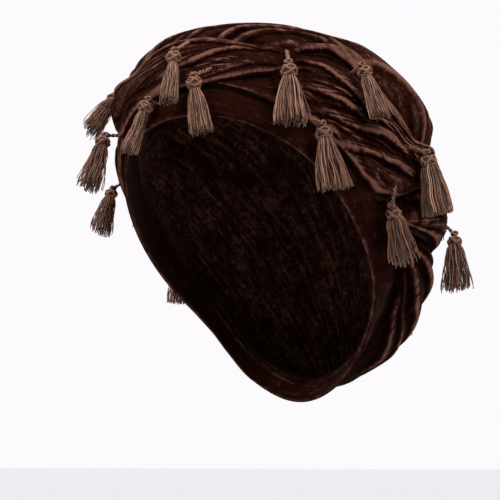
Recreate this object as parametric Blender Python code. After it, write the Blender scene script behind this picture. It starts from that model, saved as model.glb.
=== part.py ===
"""Velvet turban with a pleated, twisted wrap and hanging tassels, in its worn form.

Lengths are metres and angles are degrees. +Z is up, the face opening looks along -Y and +X is
the wearer's left. The origin is the middle of the head hollow at the head's largest girth.

Every cloth layer is a height field round one inner point, the hub. A direction from the hub has
a turn, which goes round the face opening from the forehead (0) over the wearer's left ear (90)
to the nape (180), and a rise, which leaves the opening's plane (0) for the crown's middle (90).
"""

import bmesh
import bpy
import numpy as np
from mathutils import Vector
from mathutils.bvhtree import BVHTree

# Head hollow, a rounded form whose half sizes are measured from the origin
HEAD_HALF_WIDTH = 0.075
HEAD_HALF_LENGTH = 0.095
HEAD_TOP = 0.096
HEAD_BOTTOM = 0.175
HEAD_FULLNESS = 2.0

# Hub and tilt of the face opening
HUB_FORWARD_SHARE = 0.15
HUB_DROP_SHARE = 0.43
OPENING_TILT = 44.0

# Clearances and cloth
WEAR_EASE = 0.0005
GAP = 0.0004
SEAT_GAP = 0.0006
BAND_WALL = 0.0020
HEM_EXTRA = 0.0008
CLOTH_WALL = 0.0018

# Headband, its width and how far the crown's edge lies over it, both along the head
BAND_WIDTH = 0.031
BAND_BACK_SHARE = 0.60
BAND_FLARE = 0.0100
# Each row: turn on either side, flare of the band's upper edge off the head as a share of BAND_FLARE
BAND_FLARES = ((0.0, 0.0), (45.0, 0.05), (90.0, 0.9), (125.0, 1.0), (160.0, 0.6), (180.0, 0.5))
HEM_WIDTH = 0.0045
CROWN_OVERLAP = 0.005

# Looseness of the crown bag beyond the head on each side
BAG_SIDE_EASE = 0.036
BAG_FRONT_EASE = 0.023
BAG_BACK_EASE = 0.054
BAG_TOP_EASE = 0.007
BAG_BOTTOM_EASE = -0.009
BAG_FULLNESS = 2.25
BAG_SHIFT_BACK = 0.020
BAG_SHIFT_RIGHT = 0.0065

# Folds of the bag, which run from behind the wearer's right temple to the nape
FOLD_HEIGHT = 0.0050
FOLD_START = (-50.0, 12.0)
FOLD_END = (176.0, 1.0)
# Each row: angle where a fold begins, height as a share of FOLD_HEIGHT
FOLDS = (
    (-180.0, 0.8), (-158.0, 0.9), (-138.0, 0.8), (-120.0, 1.0), (-104.0, 0.8),
    (-89.0, 1.0), (-75.0, 0.7), (-62.0, 0.9), (-47.0, 0.7), (-32.0, 0.9),
    (-16.0, 0.6), (-2.0, 0.8), (12.0, 0.7), (27.0, 0.9), (40.0, 0.7),
    (54.0, 1.0), (67.0, 0.8), (80.0, 1.0), (93.0, 0.9), (106.0, 1.0),
    (120.0, 0.8), (134.0, 1.0), (148.0, 0.8), (163.0, 0.9), (180.0, 0.8),
)

# Rim of the face opening. Each row: turn on either side, rise
RIM = (
    (0.0, 0.0), (52.0, 4.7), (82.0, 7.0), (105.0, 8.5), (130.0, 9.5), (142.0, 8.0), (152.0, 4.0),
    (162.0, -0.5), (180.0, -4.0),
)

# Bed of the wrap round the crown. Each row: turn, rise of its lower edge, rise of its upper edge, share of
# the bag's looseness that is left below the wrap
WRAP_BED = (
    (-180.0, 40.0, 62.0, 0.88), (-145.0, 38.0, 60.0, 0.88), (-120.0, 33.0, 55.0, 0.80), (-100.0, 26.0, 48.0, 0.55),
    (-88.0, 22.0, 43.0, 0.30), (-75.0, 18.0, 40.0, 0.15), (-60.0, 14.5, 32.0, 0.12), (-45.0, 12.0, 27.5, 0.12),
    (-30.0, 10.0, 25.0, 0.12), (-10.0, 7.5, 23.5, 0.12), (0.0, 7.5, 22.5, 0.12), (10.0, 8.5, 21.5, 0.12),
    (22.0, 9.0, 23.0, 0.12), (29.0, 9.5, 29.0, 0.15), (36.0, 11.0, 35.5, 0.18), (45.0, 13.0, 39.0, 0.22),
    (60.0, 15.5, 39.5, 0.24), (75.0, 17.5, 41.0, 0.28), (88.0, 21.0, 44.0, 0.36), (100.0, 25.5, 49.0, 0.58),
    (120.0, 33.0, 55.0, 0.76), (145.0, 38.0, 60.0, 0.88), (180.0, 40.0, 62.0, 0.88),
)
BED_EDGE = 9.0
CROWN_FULL_RISE = 13.0

# Wrap, thickness of a full swathe and height of its pleats
SWATHE_THICKNESS = 0.0105
PLEAT_HEIGHT = 0.0028
SWATHE_EDGE = 0.0010
# Outlines. Each row: share of the length, lower edge and upper edge as shares of the bed, thickness share
FRONT_OUTLINE = (
    (0.00, 0.12, 0.80, 0.60), (0.06, 0.02, 0.97, 0.95), (0.30, 0.00, 1.00, 1.00), (0.55, 0.00, 1.00, 0.90),
    (0.75, 0.06, 1.00, 0.80), (0.90, 0.36, 0.98, 0.65), (1.00, 0.56, 0.88, 0.35),
)
SIDE_OUTLINE = (
    (0.00, 0.00, 0.14, 0.12), (0.14, 0.00, 0.70, 0.25), (0.26, 0.00, 0.98, 0.60), (0.45, 0.00, 1.00, 0.95),
    (0.70, 0.00, 1.00, 1.00), (0.90, 0.06, 0.94, 1.10), (1.00, 0.30, 0.66, 0.70),
)
BACK_OUTLINE = (
    (0.00, 0.25, 0.60, 0.15), (0.16, 0.04, 0.90, 0.45), (0.40, 0.00, 1.00, 0.95), (0.60, 0.00, 1.00, 0.95),
    (0.84, 0.10, 1.00, 0.50), (1.00, 0.60, 0.95, 0.20),
)
# Pleats. Each row: share across the swathe, height share, half width as a share across
PLEATS = (
    (0.06, 0.8, 0.08), (0.22, 1.0, 0.10), (0.40, 0.9, 0.10), (0.57, 1.0, 0.09), (0.74, 0.8, 0.09), (0.92, 1.0, 0.08),
)
# Swathes from the bottom layer up. Each row: name, start turn, end turn, outline, thickness share
SWATHES = (
    ("wrap_swathe_back", 134.0, 216.0, BACK_OUTLINE, 0.85),
    ("wrap_swathe_back_left", 74.0, 150.0, BACK_OUTLINE, 1.15),
    ("wrap_swathe_back_right", -160.0, -86.0, BACK_OUTLINE, 0.90),
    ("wrap_swathe_left", 8.0, 92.0, SIDE_OUTLINE, 1.00),
    ("wrap_swathe_right", -104.0, -30.0, BACK_OUTLINE, 1.00),
    ("wrap_swathe_front", -42.0, 27.0, FRONT_OUTLINE, 1.00),
)

# Tassels
TASSEL_CORD_RADIUS = 0.0013
TASSEL_KNOT_RADIUS = 0.0040
TASSEL_KNOT_LENGTH = 0.0080
TASSEL_SKIRT_LENGTH = 0.0270
TASSEL_SKIRT_HALF_WIDTH = 0.0098
TASSEL_FLATNESS = 0.62
TASSEL_LOCK_DEPTH = 0.12
TASSEL_FREE_HANG = 0.90
# Each row: name, turn and rise of the knot, turn and rise from there to the cord's end, sideways lean, size
# share, skirt spread share
TASSELS = (
    ("tassel_01", -56.5, 35.0, 5.0, -2.0, 36.0, 0.90, 1.00),
    ("tassel_02", -50.0, 15.7, 2.0, 5.0, 18.0, 1.00, 1.00),
    ("tassel_03", -71.5, 16.2, 2.0, 5.0, 20.0, 0.85, 1.00),
    ("tassel_04", -14.5, 3.2, 1.0, 4.0, -10.0, 0.95, 0.78),
    ("tassel_05", -3.5, 10.2, 4.0, 6.0, 4.0, 0.95, 0.70),
    ("tassel_06", 3.0, 5.0, 3.0, 6.0, 14.0, 1.00, 0.75),
    ("tassel_07", 27.0, 13.3, -2.0, 5.0, -2.0, 1.05, 1.00),
    ("tassel_08", 43.0, 8.0, -5.0, 4.0, 9.0, 1.08, 1.08),
    ("tassel_09", 45.5, 29.0, -2.0, 5.0, 4.0, 0.95, 1.00),
    ("tassel_10", 88.0, 17.0, -8.0, 4.0, 32.0, 1.00, 1.15),
    ("tassel_11", 79.5, 25.5, -4.0, 6.0, 0.0, 1.05, 1.05),
    ("tassel_12", 126.5, 36.5, -1.0, 5.0, -12.0, 1.00, 1.10),
    ("tassel_13", 138.0, 56.0, 0.0, 5.0, 0.0, 1.00, 1.00),
    ("tassel_14", 160.0, 38.0, 0.0, 5.0, 0.0, 1.00, 1.00),
    ("tassel_15", -164.0, 38.0, 0.0, 5.0, 0.0, 1.00, 1.00),
    ("tassel_16", -132.0, 53.0, 0.0, 5.0, 0.0, 1.00, 1.00),
    ("tassel_17", -124.0, 34.0, 0.0, 5.0, 0.0, 1.00, 1.00),
    ("tassel_18", -98.0, 42.0, 0.0, 5.0, 0.0, 1.00, 1.00),
)

# Mesh divisions
BAND_STEPS = 56
CROWN_TURN_STEPS = 72
CROWN_ROWS = (3, 1, 2, 1, 7)
SWATHE_STEPS = 14
SWATHE_ACROSS = 11
TASSEL_SIDES = 10

# Materials. Each row: colour, roughness
VELVET = ((0.075, 0.028, 0.022, 1.0), 0.75)
BAND_VELVET = ((0.065, 0.024, 0.019, 1.0), 0.78)
YARN = ((0.155, 0.085, 0.058, 1.0), 0.60)

# Reach beyond the whole turban, from which rays look back at the cloth
FAR_REACH = 4.0 * HEAD_HALF_LENGTH
SWATHE_SIGHT_STEP = 1.0

# Map that the layers are stacked on
MAP_STEP = 1.0
MAP_TURN = np.arange(-180.0, 180.0, MAP_STEP)
MAP_RISE = np.arange(-24.0, 90.5, MAP_STEP)

TILT = np.radians(OPENING_TILT)
HUB = np.array([0.0, -HUB_FORWARD_SHARE * HEAD_HALF_LENGTH, -HUB_DROP_SHARE * HEAD_TOP])
FRONT_AXIS = np.array([0.0, -np.cos(TILT), np.sin(TILT)])
LEFT_AXIS = np.array([1.0, 0.0, 0.0])
CROWN_AXIS = np.array([0.0, np.sin(TILT), np.cos(TILT)])


def table(rows, column, at):
    """Smooth curve through one column of a table, without overshoot, read at the given first-column values."""
    x = np.array([row[0] for row in rows])
    y = np.array([row[column] for row in rows])
    step = np.diff(x)
    slope = np.diff(y) / step
    inner = np.where(slope[:-1] * slope[1:] > 0.0,
                     2.0 * slope[:-1] * slope[1:] / (slope[:-1] + slope[1:] + 1e-12), 0.0)
    tangent = np.concatenate([[slope[0] * 0.0], inner, [slope[-1] * 0.0]])
    at = np.clip(at, x[0], x[-1])
    i = np.clip(np.searchsorted(x, at, side="right") - 1, 0, len(step) - 1)
    t = (at - x[i]) / step[i]
    return (y[i] * (1.0 + 2.0 * t) * (1.0 - t) ** 2 + tangent[i] * step[i] * t * (1.0 - t) ** 2
            + y[i + 1] * t * t * (3.0 - 2.0 * t) + tangent[i + 1] * step[i] * t * t * (t - 1.0))


def ease(value):
    """Smooth step from 0 to 1."""
    value = np.clip(value, 0.0, 1.0)
    return value * value * (3.0 - 2.0 * value)


def wrapped(turn):
    """Turn brought to the span from -180 to 180."""
    return (np.asarray(turn, float) + 180.0) % 360.0 - 180.0


def direction(turn, rise):
    """Unit vectors from the hub for turns and rises."""
    turn, rise = np.broadcast_arrays(np.radians(turn), np.radians(rise))
    flat = np.cos(rise)
    return ((flat * np.cos(turn))[..., None] * FRONT_AXIS + (flat * np.sin(turn))[..., None] * LEFT_AXIS
            + np.sin(rise)[..., None] * CROWN_AXIS)


def angles(points):
    """Turn, rise and reach of points, seen from the hub."""
    arm = points - HUB
    reach = np.linalg.norm(arm, axis=-1)
    turn = np.degrees(np.arctan2(arm @ LEFT_AXIS, arm @ FRONT_AXIS))
    rise = np.degrees(np.arcsin(np.clip(arm @ CROWN_AXIS / reach, -1.0, 1.0)))
    return turn, rise, reach


def form_reach(way, half_width, front, back, top, bottom, shift_right, shift_back, fullness):
    """Distance from the hub to a rounded form along unit vectors, found by halving an interval."""
    low = np.zeros(way.shape[:-1])
    high = np.full(way.shape[:-1], 0.5)
    for _ in range(34):
        middle = 0.5 * (low + high)
        point = HUB + way * middle[..., None]
        across = np.abs(point[..., 0] + shift_right) / half_width
        along = point[..., 1] - shift_back
        along = np.where(along < 0.0, -along / (front + shift_back), along / (back - shift_back))
        height = np.where(point[..., 2] > 0.0, point[..., 2] / top, -point[..., 2] / bottom)
        inside = (across ** 2 + along ** 2) ** (fullness / 2.0) + height ** fullness < 1.0
        low = np.where(inside, middle, low)
        high = np.where(inside, high, middle)
    return 0.5 * (low + high)


def head_reach(turn, rise):
    """Reach of the head hollow."""
    return form_reach(direction(turn, rise), HEAD_HALF_WIDTH, HEAD_HALF_LENGTH, HEAD_HALF_LENGTH,
                      HEAD_TOP, HEAD_BOTTOM, 0.0, 0.0, HEAD_FULLNESS)


def rim_rise(turn):
    """Rise of the face opening's rim."""
    return table(RIM, 1, np.abs(wrapped(turn)))


def angle_of(length, turn):
    """Angle that a length along the head takes up near the rim."""
    return np.degrees(length / head_reach(turn, rim_rise(turn)))


def band_width(turn):
    """Width of the headband, which narrows toward the nape."""
    narrow = ease((np.abs(wrapped(turn)) - 80.0) / 80.0)
    return BAND_WIDTH * (1.0 + (BAND_BACK_SHARE - 1.0) * narrow)


def band_top(turn):
    """Rise of the headband's upper edge."""
    return rim_rise(turn) + angle_of(band_width(turn), turn)


def band_reach(turn, rise):
    """Reach of the headband's inner face, which flares off the head behind the ears."""
    share = ease((rise - rim_rise(turn)) / (band_top(turn) - rim_rise(turn)))
    flare = BAND_FLARE * table(BAND_FLARES, 1, np.abs(wrapped(turn)))
    return head_reach(turn, rise) + WEAR_EASE + flare * share


def crown_edge(turn):
    """Rise of the crown's lower edge, which lies over the headband's upper edge."""
    return band_top(turn) - angle_of(CROWN_OVERLAP, turn)


def bed_edges(turn):
    """Rises of the lower and upper edge of the wrap's bed."""
    turn = wrapped(turn)
    return table(WRAP_BED, 1, turn), table(WRAP_BED, 2, turn)


def fold_relief(way):
    """Folds of the bag, rounded ridges with sharp creases along circles through two poles."""
    start = direction(*FOLD_START)
    end = direction(*FOLD_END)
    chord = (end - start) / np.linalg.norm(end - start)
    over = CROWN_AXIS - chord * (CROWN_AXIS @ chord)
    over = over / np.linalg.norm(over)
    side = np.cross(chord, over)
    arm = way - start
    angle = np.degrees(np.arctan2(arm @ side, arm @ over))
    begins = np.array([row[0] for row in FOLDS])
    share = np.array([row[1] for row in FOLDS])
    i = np.clip(np.searchsorted(begins, angle, side="right") - 1, 0, len(begins) - 2)
    t = (angle - begins[i]) / (begins[i + 1] - begins[i])
    near_end = np.clip(1.0 - np.linalg.norm(way - end, axis=-1) / 1.7, 0.0, 1.0)
    fade = ease(np.linalg.norm(way - end, axis=-1) / 0.35) * ease(np.linalg.norm(arm, axis=-1) / 0.5)
    return FOLD_HEIGHT * share[i] * (4.0 * t * (1.0 - t)) ** 0.7 * (0.45 + 0.55 * near_end) * fade


def crown_reach(turn, rise):
    """Reach of the crown's outer face: flat on the band and under the wrap, loose and folded elsewhere."""
    way = direction(turn, rise)
    flat = band_reach(turn, rise) + BAND_WALL + GAP + CLOTH_WALL
    bag = form_reach(way, HEAD_HALF_WIDTH + BAG_SIDE_EASE, HEAD_HALF_LENGTH + BAG_FRONT_EASE,
                     HEAD_HALF_LENGTH + BAG_BACK_EASE, HEAD_TOP + BAG_TOP_EASE,
                     HEAD_BOTTOM + BAG_BOTTOM_EASE, BAG_SHIFT_RIGHT, BAG_SHIFT_BACK, BAG_FULLNESS)
    bag = np.maximum(bag, flat)
    lower, upper = bed_edges(turn)
    bed_share = table(WRAP_BED, 3, wrapped(turn))
    in_bed = ease((rise - lower + BED_EDGE) / BED_EDGE) * ease((upper - rise + BED_EDGE) / BED_EDGE)
    from_edge = ease((rise - crown_edge(turn)) / CROWN_FULL_RISE)
    loose = from_edge * (1.0 - (1.0 - bed_share) * in_bed)
    return flat + (bag - flat) * loose + fold_relief(way) * from_edge * (1.0 - in_bed)


def swathe_shares(row, turn, rise):
    """Shares along and across a swathe for turns and rises."""
    name, start, end, outline, thickness = row
    along = ((np.asarray(turn, float) - start) % 360.0) / (end - start)
    lower, upper = bed_edges(turn)
    low = lower + (upper - lower) * table(outline, 1, along)
    high = lower + (upper - lower) * table(outline, 2, along)
    return along, (rise - low) / (high - low)


def swathe_lift(row, along, across):
    """Height of a swathe's outer face over its inner face: a rounded section with pleats."""
    full = SWATHE_THICKNESS * row[4] * table(row[3], 3, along)
    round_off = np.clip(1.0 - (2.0 * across - 1.0) ** 2, 0.0, 1.0) ** 0.6
    pleats = 0.0
    for place, height, half_width in PLEATS:
        pleats = pleats + height * np.exp(-((across - place) / (0.6 * half_width)) ** 2)
    share = table(row[3], 3, along)
    return SWATHE_EDGE + (full - PLEAT_HEIGHT * share) * round_off + PLEAT_HEIGHT * share * pleats * round_off ** 0.5


def read_map(field, turn, rise):
    """Field over the map's turns and rises, read between its points."""
    column = wrapped(turn) - MAP_TURN[0]
    column = (column / MAP_STEP) % len(MAP_TURN)
    row = np.clip((rise - MAP_RISE[0]) / MAP_STEP, 0.0, len(MAP_RISE) - 1.001)
    i = np.floor(column).astype(int)
    j = np.floor(row).astype(int)
    s = column - i
    t = row - j
    i = i % len(MAP_TURN)
    k = (i + 1) % len(MAP_TURN)
    return ((field[i, j] * (1.0 - s) + field[k, j] * s) * (1.0 - t)
            + (field[i, j + 1] * (1.0 - s) + field[k, j + 1] * s) * t)


def spread(field, cells):
    """Field with each point raised to the highest of its neighbours."""
    for _ in range(cells):
        field = np.maximum(field, np.maximum(np.roll(field, 1, 0), np.roll(field, -1, 0)))
        wide = field.copy()
        wide[:, 1:] = np.maximum(wide[:, 1:], field[:, :-1])
        wide[:, :-1] = np.maximum(wide[:, :-1], field[:, 1:])
        field = wide
    return field


def softened(field, cells):
    """Field averaged with its neighbours."""
    for _ in range(cells):
        field = (np.roll(field, 1, 0) + field + np.roll(field, -1, 0)) / 3.0
        soft = field.copy()
        soft[:, 1:-1] = (field[:, :-2] + field[:, 1:-1] + field[:, 2:]) / 3.0
        field = soft
    return field


def cloth_maps():
    """Reach of the bed below each swathe, and of all cloth together."""
    turn, rise = np.meshgrid(MAP_TURN, MAP_RISE, indexing="ij")
    band = band_reach(turn, rise) + BAND_WALL + HEM_EXTRA
    top = np.where(rise > crown_edge(turn) - MAP_STEP, crown_reach(turn, rise), band)
    top = np.maximum(top, band)
    beds = {}
    for row in SWATHES:
        bed = softened(spread(top, 2), 2) + GAP
        beds[row[0]] = bed
        along, across = swathe_shares(row, turn, rise)
        inside = (along >= 0.0) & (along <= 1.0) & (across >= 0.0) & (across <= 1.0)
        lift = swathe_lift(row, np.clip(along, 0.0, 1.0), np.clip(across, 0.0, 1.0))
        top = np.where(inside, bed + lift, top)
    return beds, top


def mesh_object(name, points, faces, collection, look):
    """Object with its mesh, smooth shading and own material."""
    mesh = bpy.data.meshes.new(name)
    mesh.from_pydata([tuple(point) for point in points], [], faces)
    mesh.update()
    mesh.shade_smooth()
    mesh.set_sharp_from_angle(angle=np.radians(50.0))
    material = bpy.data.materials.new(name)
    material.use_nodes = True
    shader = material.node_tree.nodes["Principled BSDF"]
    shader.inputs["Base Color"].default_value = look[0]
    shader.inputs["Roughness"].default_value = look[1]
    mesh.materials.append(material)
    item = bpy.data.objects.new(name, mesh)
    collection.objects.link(item)
    return item


def sight_tree(points, faces):
    """Search tree over a mesh, for looking along rays."""
    return BVHTree.FromPolygons([tuple(point) for point in points], faces)


def outermost(trees, way):
    """Reach of the outermost cloth along one ray from the hub, or zero where there is none."""
    start = Vector(HUB) + way * FAR_REACH
    reach = 0.0
    for tree in trees:
        hit = tree.ray_cast(start, -way)
        if hit[0] is not None:
            reach = max(reach, FAR_REACH - hit[3])
    return reach


def settled(points, faces, trees, step):
    """Points moved along their rays from the hub until the piece just clears the cloth below it."""
    turn, rise, reach = angles(points)
    middle = turn[0]
    turn = wrapped(turn - middle) + middle
    turns = np.arange(turn.min(), turn.max(), step)
    rises = np.arange(rise.min(), rise.max(), step)
    ways = np.concatenate([direction(turns[:, None], rises[None, :]).reshape(-1, 3),
                           (points - HUB) / reach[:, None] * (1.0 - 1e-9)])
    piece = sight_tree(points, faces)
    hub = Vector(HUB)
    clear = FAR_REACH
    for way in ways:
        way = Vector(way)
        near = piece.ray_cast(hub, way)
        if near[0] is None:
            continue
        low = outermost(trees, way)
        if low > 0.0:
            clear = min(clear, near[3] - low)
    if clear == FAR_REACH:
        return points
    return HUB + (points - HUB) * ((reach + SEAT_GAP - clear) / reach)[:, None]


def seated_cord(points, trees):
    """Points of a tassel with its cord's first ring and cap moved in until they just clear the cloth."""
    ring = np.concatenate([points[:TASSEL_SIDES], points[-2:-1]])
    reach = angles(ring)[2]
    low = np.array([outermost(trees, Vector((point - HUB) / far)) for point, far in zip(ring, reach)])
    move = (SEAT_GAP - np.min(reach - low)) / reach[-1] * (ring[-1] - HUB)
    points = points.copy()
    points[:TASSEL_SIDES] += move
    points[-2] += move
    return points


def ring_faces(loops, size, closed_along, closed_across=True):
    """Faces between following loops of points."""
    faces = []
    for i in range(loops if closed_along else loops - 1):
        near = i * size
        far = ((i + 1) % loops) * size
        for j in range(size if closed_across else size - 1):
            k = (j + 1) % size
            faces.append((near + j, near + k, far + k, far + j))
    return faces


def placed(turn, rise, reach):
    """Points for turns, rises and reaches."""
    return HUB + direction(turn, rise) * np.asarray(reach)[..., None]


def headband():
    """Velvet band round the face opening, a closed ring of one wall with a thicker folded hem."""
    turn = np.linspace(-180.0, 180.0, BAND_STEPS, endpoint=False)
    rim = rim_rise(turn)
    top = band_top(turn)
    hem = angle_of(HEM_WIDTH, turn)
    nip = angle_of(0.35 * BAND_WALL, turn)
    section = []
    for outer, rise, depth in (
        (False, rim + nip, 0.0), (True, rim, 0.4 * BAND_WALL), (True, rim, 0.8 * BAND_WALL),
        (True, rim + nip, BAND_WALL + HEM_EXTRA), (True, rim + hem, BAND_WALL + HEM_EXTRA),
        (True, rim + hem + nip, BAND_WALL), (True, 0.5 * (rim + hem + top), BAND_WALL),
        (True, top, BAND_WALL), (False, top, 0.0), (False, 0.5 * (rim + top), 0.0),
    ):
        section.append(placed(turn, rise, band_reach(turn, rise) + depth))
    points = np.stack(section, 1).reshape(-1, 3)
    return points, ring_faces(BAND_STEPS, len(section), True)


def crown_rises(turn):
    """Rises of the crown's rows: from its edge, over the wrap's bed, to its middle."""
    edge = crown_edge(turn)
    lower, upper = bed_edges(turn)
    lines = (edge, np.maximum(lower - BED_EDGE, edge + 1.0), np.maximum(lower, edge + 2.0), upper,
             upper + BED_EDGE, np.full(turn.shape, 90.0))
    rows = []
    for low, high, count in zip(lines[:-1], lines[1:], CROWN_ROWS):
        rows += [low + (high - low) * i / count for i in range(count)]
    return rows


def crown():
    """Gathered bag over the head, an open shell of one cloth wall."""
    turn = np.linspace(-180.0, 180.0, CROWN_TURN_STEPS, endpoint=False)
    outer = []
    inner = []
    for rise in crown_rises(turn):
        reach = crown_reach(turn, rise)
        outer.append(placed(turn, rise, reach))
        inner.append(placed(turn, rise, reach - CLOTH_WALL))
    top = crown_reach(0.0, 90.0)
    loops = inner[::-1] + outer
    points = np.concatenate(loops + [placed(0.0, 90.0, top)[None], placed(0.0, 90.0, top - CLOTH_WALL)[None]])
    size = CROWN_TURN_STEPS
    faces = ring_faces(len(loops), size, False)
    faces = [face[::-1] for face in faces]
    last = (len(loops) - 1) * size
    outer_pole = len(loops) * size
    for j in range(size):
        k = (j + 1) % size
        faces.append((last + j, last + k, outer_pole)[::-1])
        faces.append((j, k, outer_pole + 1))
    return points, faces


def swathe(row, bed):
    """Pleated swathe of the wrap, a closed body lofted along its length."""
    name, start, end, outline, thickness = row
    along = np.linspace(0.0, 1.0, SWATHE_STEPS)
    turn = start + (end - start) * along
    lower, upper = bed_edges(turn)
    low = lower + (upper - lower) * table(outline, 1, along)
    high = lower + (upper - lower) * table(outline, 2, along)
    across = 0.5 - 0.5 * np.cos(np.linspace(0.0, np.pi, SWATHE_ACROSS))
    across = 0.5 * across + 0.5 * np.linspace(0.0, 1.0, SWATHE_ACROSS)
    back_across = np.linspace(1.0, 0.0, 6)
    shares = np.concatenate([across, back_across])
    rise = low[:, None] + (high - low)[:, None] * shares
    reach = read_map(bed, turn[:, None], rise)
    lift = swathe_lift(row, along[:, None], shares[None, :])
    lift[:, SWATHE_ACROSS:] = 0.0
    points = placed(turn[:, None], rise, reach + lift).reshape(-1, 3)
    size = len(shares)
    faces = [face[::-1] for face in ring_faces(SWATHE_STEPS, size, False)]
    last = (SWATHE_STEPS - 1) * size
    faces += end_faces(0, size, SWATHE_ACROSS, False)
    faces += end_faces(last, size, SWATHE_ACROSS, True)
    return points, faces


def end_faces(first, size, outer, far):
    """Flat strip that closes one end of a swathe, between its outer and inner face."""
    front = list(range(first, first + outer))
    back = list(range(first + size - 1, first + outer - 1, -1))
    faces = []
    i = 0
    j = 0
    while i < len(front) - 1 or j < len(back) - 1:
        if j == len(back) - 1 or (i < len(front) - 1 and (i + 1) * (len(back) - 1) <= (j + 1) * (len(front) - 1)):
            face = (front[i], front[i + 1], back[j])
            i += 1
        else:
            face = (front[i], back[j + 1], back[j])
            j += 1
        faces.append(face if far else face[::-1])
    return faces


def tassel_sections(spread_share):
    """Sections of a tassel from the cord's lower end. Each row: distance down, half width, lock depth share."""
    knot = TASSEL_KNOT_RADIUS
    long = TASSEL_KNOT_LENGTH
    skirt = TASSEL_SKIRT_LENGTH
    wide = TASSEL_SKIRT_HALF_WIDTH * spread_share
    return (
        (-0.50 * long, 0.55 * knot, 0.0), (-0.20 * long, 0.95 * knot, 0.0), (0.20 * long, 1.00 * knot, 0.0),
        (0.50 * long, 0.68 * knot, 0.0), (0.50 * long + 0.12 * skirt, 0.50 * wide, 0.4),
        (0.50 * long + 0.55 * skirt, 0.84 * wide, 1.0), (0.50 * long + 0.94 * skirt, wide, 1.0),
        (0.50 * long + skirt, 0.90 * wide, 1.0),
    )


def tassel_place(row, top):
    """Knot point, end point, side and outward unit vectors of a tassel that lies down the cloth."""
    name, turn, rise, cord_turn, cord_rise, lean, size, spread_share = row
    out = direction(turn, rise)
    hang = np.array([0.0, 0.0, -1.0]) * (1.0 + TASSEL_FREE_HANG) + out * out[2]
    hang = hang / np.linalg.norm(hang)
    side = np.cross(out, hang)
    side = side / np.linalg.norm(side)
    hang = hang * np.cos(np.radians(lean)) + side * np.sin(np.radians(lean))
    side = np.cross(hang, out)
    side = side / np.linalg.norm(side)
    out = np.cross(side, hang)
    knot = placed(turn, rise, read_map(top, turn, rise) + size * TASSEL_KNOT_RADIUS)
    length = size * (0.5 * TASSEL_KNOT_LENGTH + TASSEL_SKIRT_LENGTH)
    around = np.linspace(-1.0, 1.0, 9)
    thick = np.sqrt(1.0 - around ** 2)
    knot_lift = 0.0
    end_lift = 0.0
    for _ in range(16):
        for down, half, locks in tassel_sections(spread_share):
            share = np.clip(size * down / length, 0.0, 1.0)
            flat = TASSEL_FLATNESS if locks else 1.0
            middle = knot + hang * size * down + out * (knot_lift * (1.0 - share) + end_lift * share)
            under = middle + size * half * (np.outer(around, side) - flat * np.outer(thick, out))
            under_turn, under_rise, under_reach = angles(under)
            short = np.max(read_map(top, under_turn, under_rise) + GAP - under_reach)
            knot_lift += max(short, 0.0) * (1.0 - share)
            end_lift += max(short, 0.0) * share
    return knot + out * knot_lift, knot + hang * length + out * end_lift, side, out


def pushed_out(point, radius, top):
    """Point moved away from the hub until a round cord there clears the cloth."""
    turn, rise, reach = angles(point)
    return placed(turn, rise, max(reach, float(read_map(top, turn, rise)) + radius + GAP))


def tassel(row, top):
    """Tassel, one body: a cord, a knotted head and a flattened skirt of yarn locks."""
    name, turn, rise, cord_turn, cord_rise, lean, size, spread_share = row
    high = spread(top, 2)
    knot, end, side, out = tassel_place(row, high)
    hang = (end - knot) / np.linalg.norm(end - knot)
    out = np.cross(side, hang)
    radius = size * TASSEL_CORD_RADIUS
    start = pushed_out(HUB + direction(turn + cord_turn, rise + cord_rise) * 0.01, radius, high)
    neck = knot - hang * size * 0.62 * TASSEL_KNOT_LENGTH
    middle = pushed_out(0.5 * (start + neck), radius, high)
    around = np.linspace(0.0, 2.0 * np.pi, TASSEL_SIDES, endpoint=False)
    rings = []
    for point, before, after in ((start, start, middle), (middle, start, neck), (neck, middle, knot)):
        along = (after - before) / np.linalg.norm(after - before)
        across = np.cross(along, out)
        across = across / np.linalg.norm(across)
        lift = np.cross(across, along)
        rings.append(point + radius * (np.outer(np.cos(around), across) + np.outer(np.sin(around), lift)))
    lock = 1.0 - TASSEL_LOCK_DEPTH * (np.arange(TASSEL_SIDES) % 2)
    for down, half, locks in tassel_sections(spread_share):
        flat = TASSEL_FLATNESS if locks else 1.0
        wide = size * half * (1.0 - locks * (1.0 - lock))
        rings.append(knot + hang * size * down + np.outer(wide * np.cos(around), side)
                     + np.outer(flat * wide * np.sin(around), out))
    tip = knot + hang * size * (tassel_sections(spread_share)[-1][0] - 0.08 * TASSEL_SKIRT_LENGTH)
    points = np.concatenate(rings + [start[None], tip[None]])
    count = len(rings)
    faces = ring_faces(count, TASSEL_SIDES, False)
    last = (count - 1) * TASSEL_SIDES
    for j in range(TASSEL_SIDES):
        k = (j + 1) % TASSEL_SIDES
        faces.append((k, j, count * TASSEL_SIDES))
        faces.append((last + j, last + k, count * TASSEL_SIDES + 1))
    return points, faces


def outward(item):
    """Turn an object's faces to point out."""
    mesh = bmesh.new()
    mesh.from_mesh(item.data)
    bmesh.ops.recalc_face_normals(mesh, faces=mesh.faces)
    mesh.to_mesh(item.data)
    mesh.free()


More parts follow.
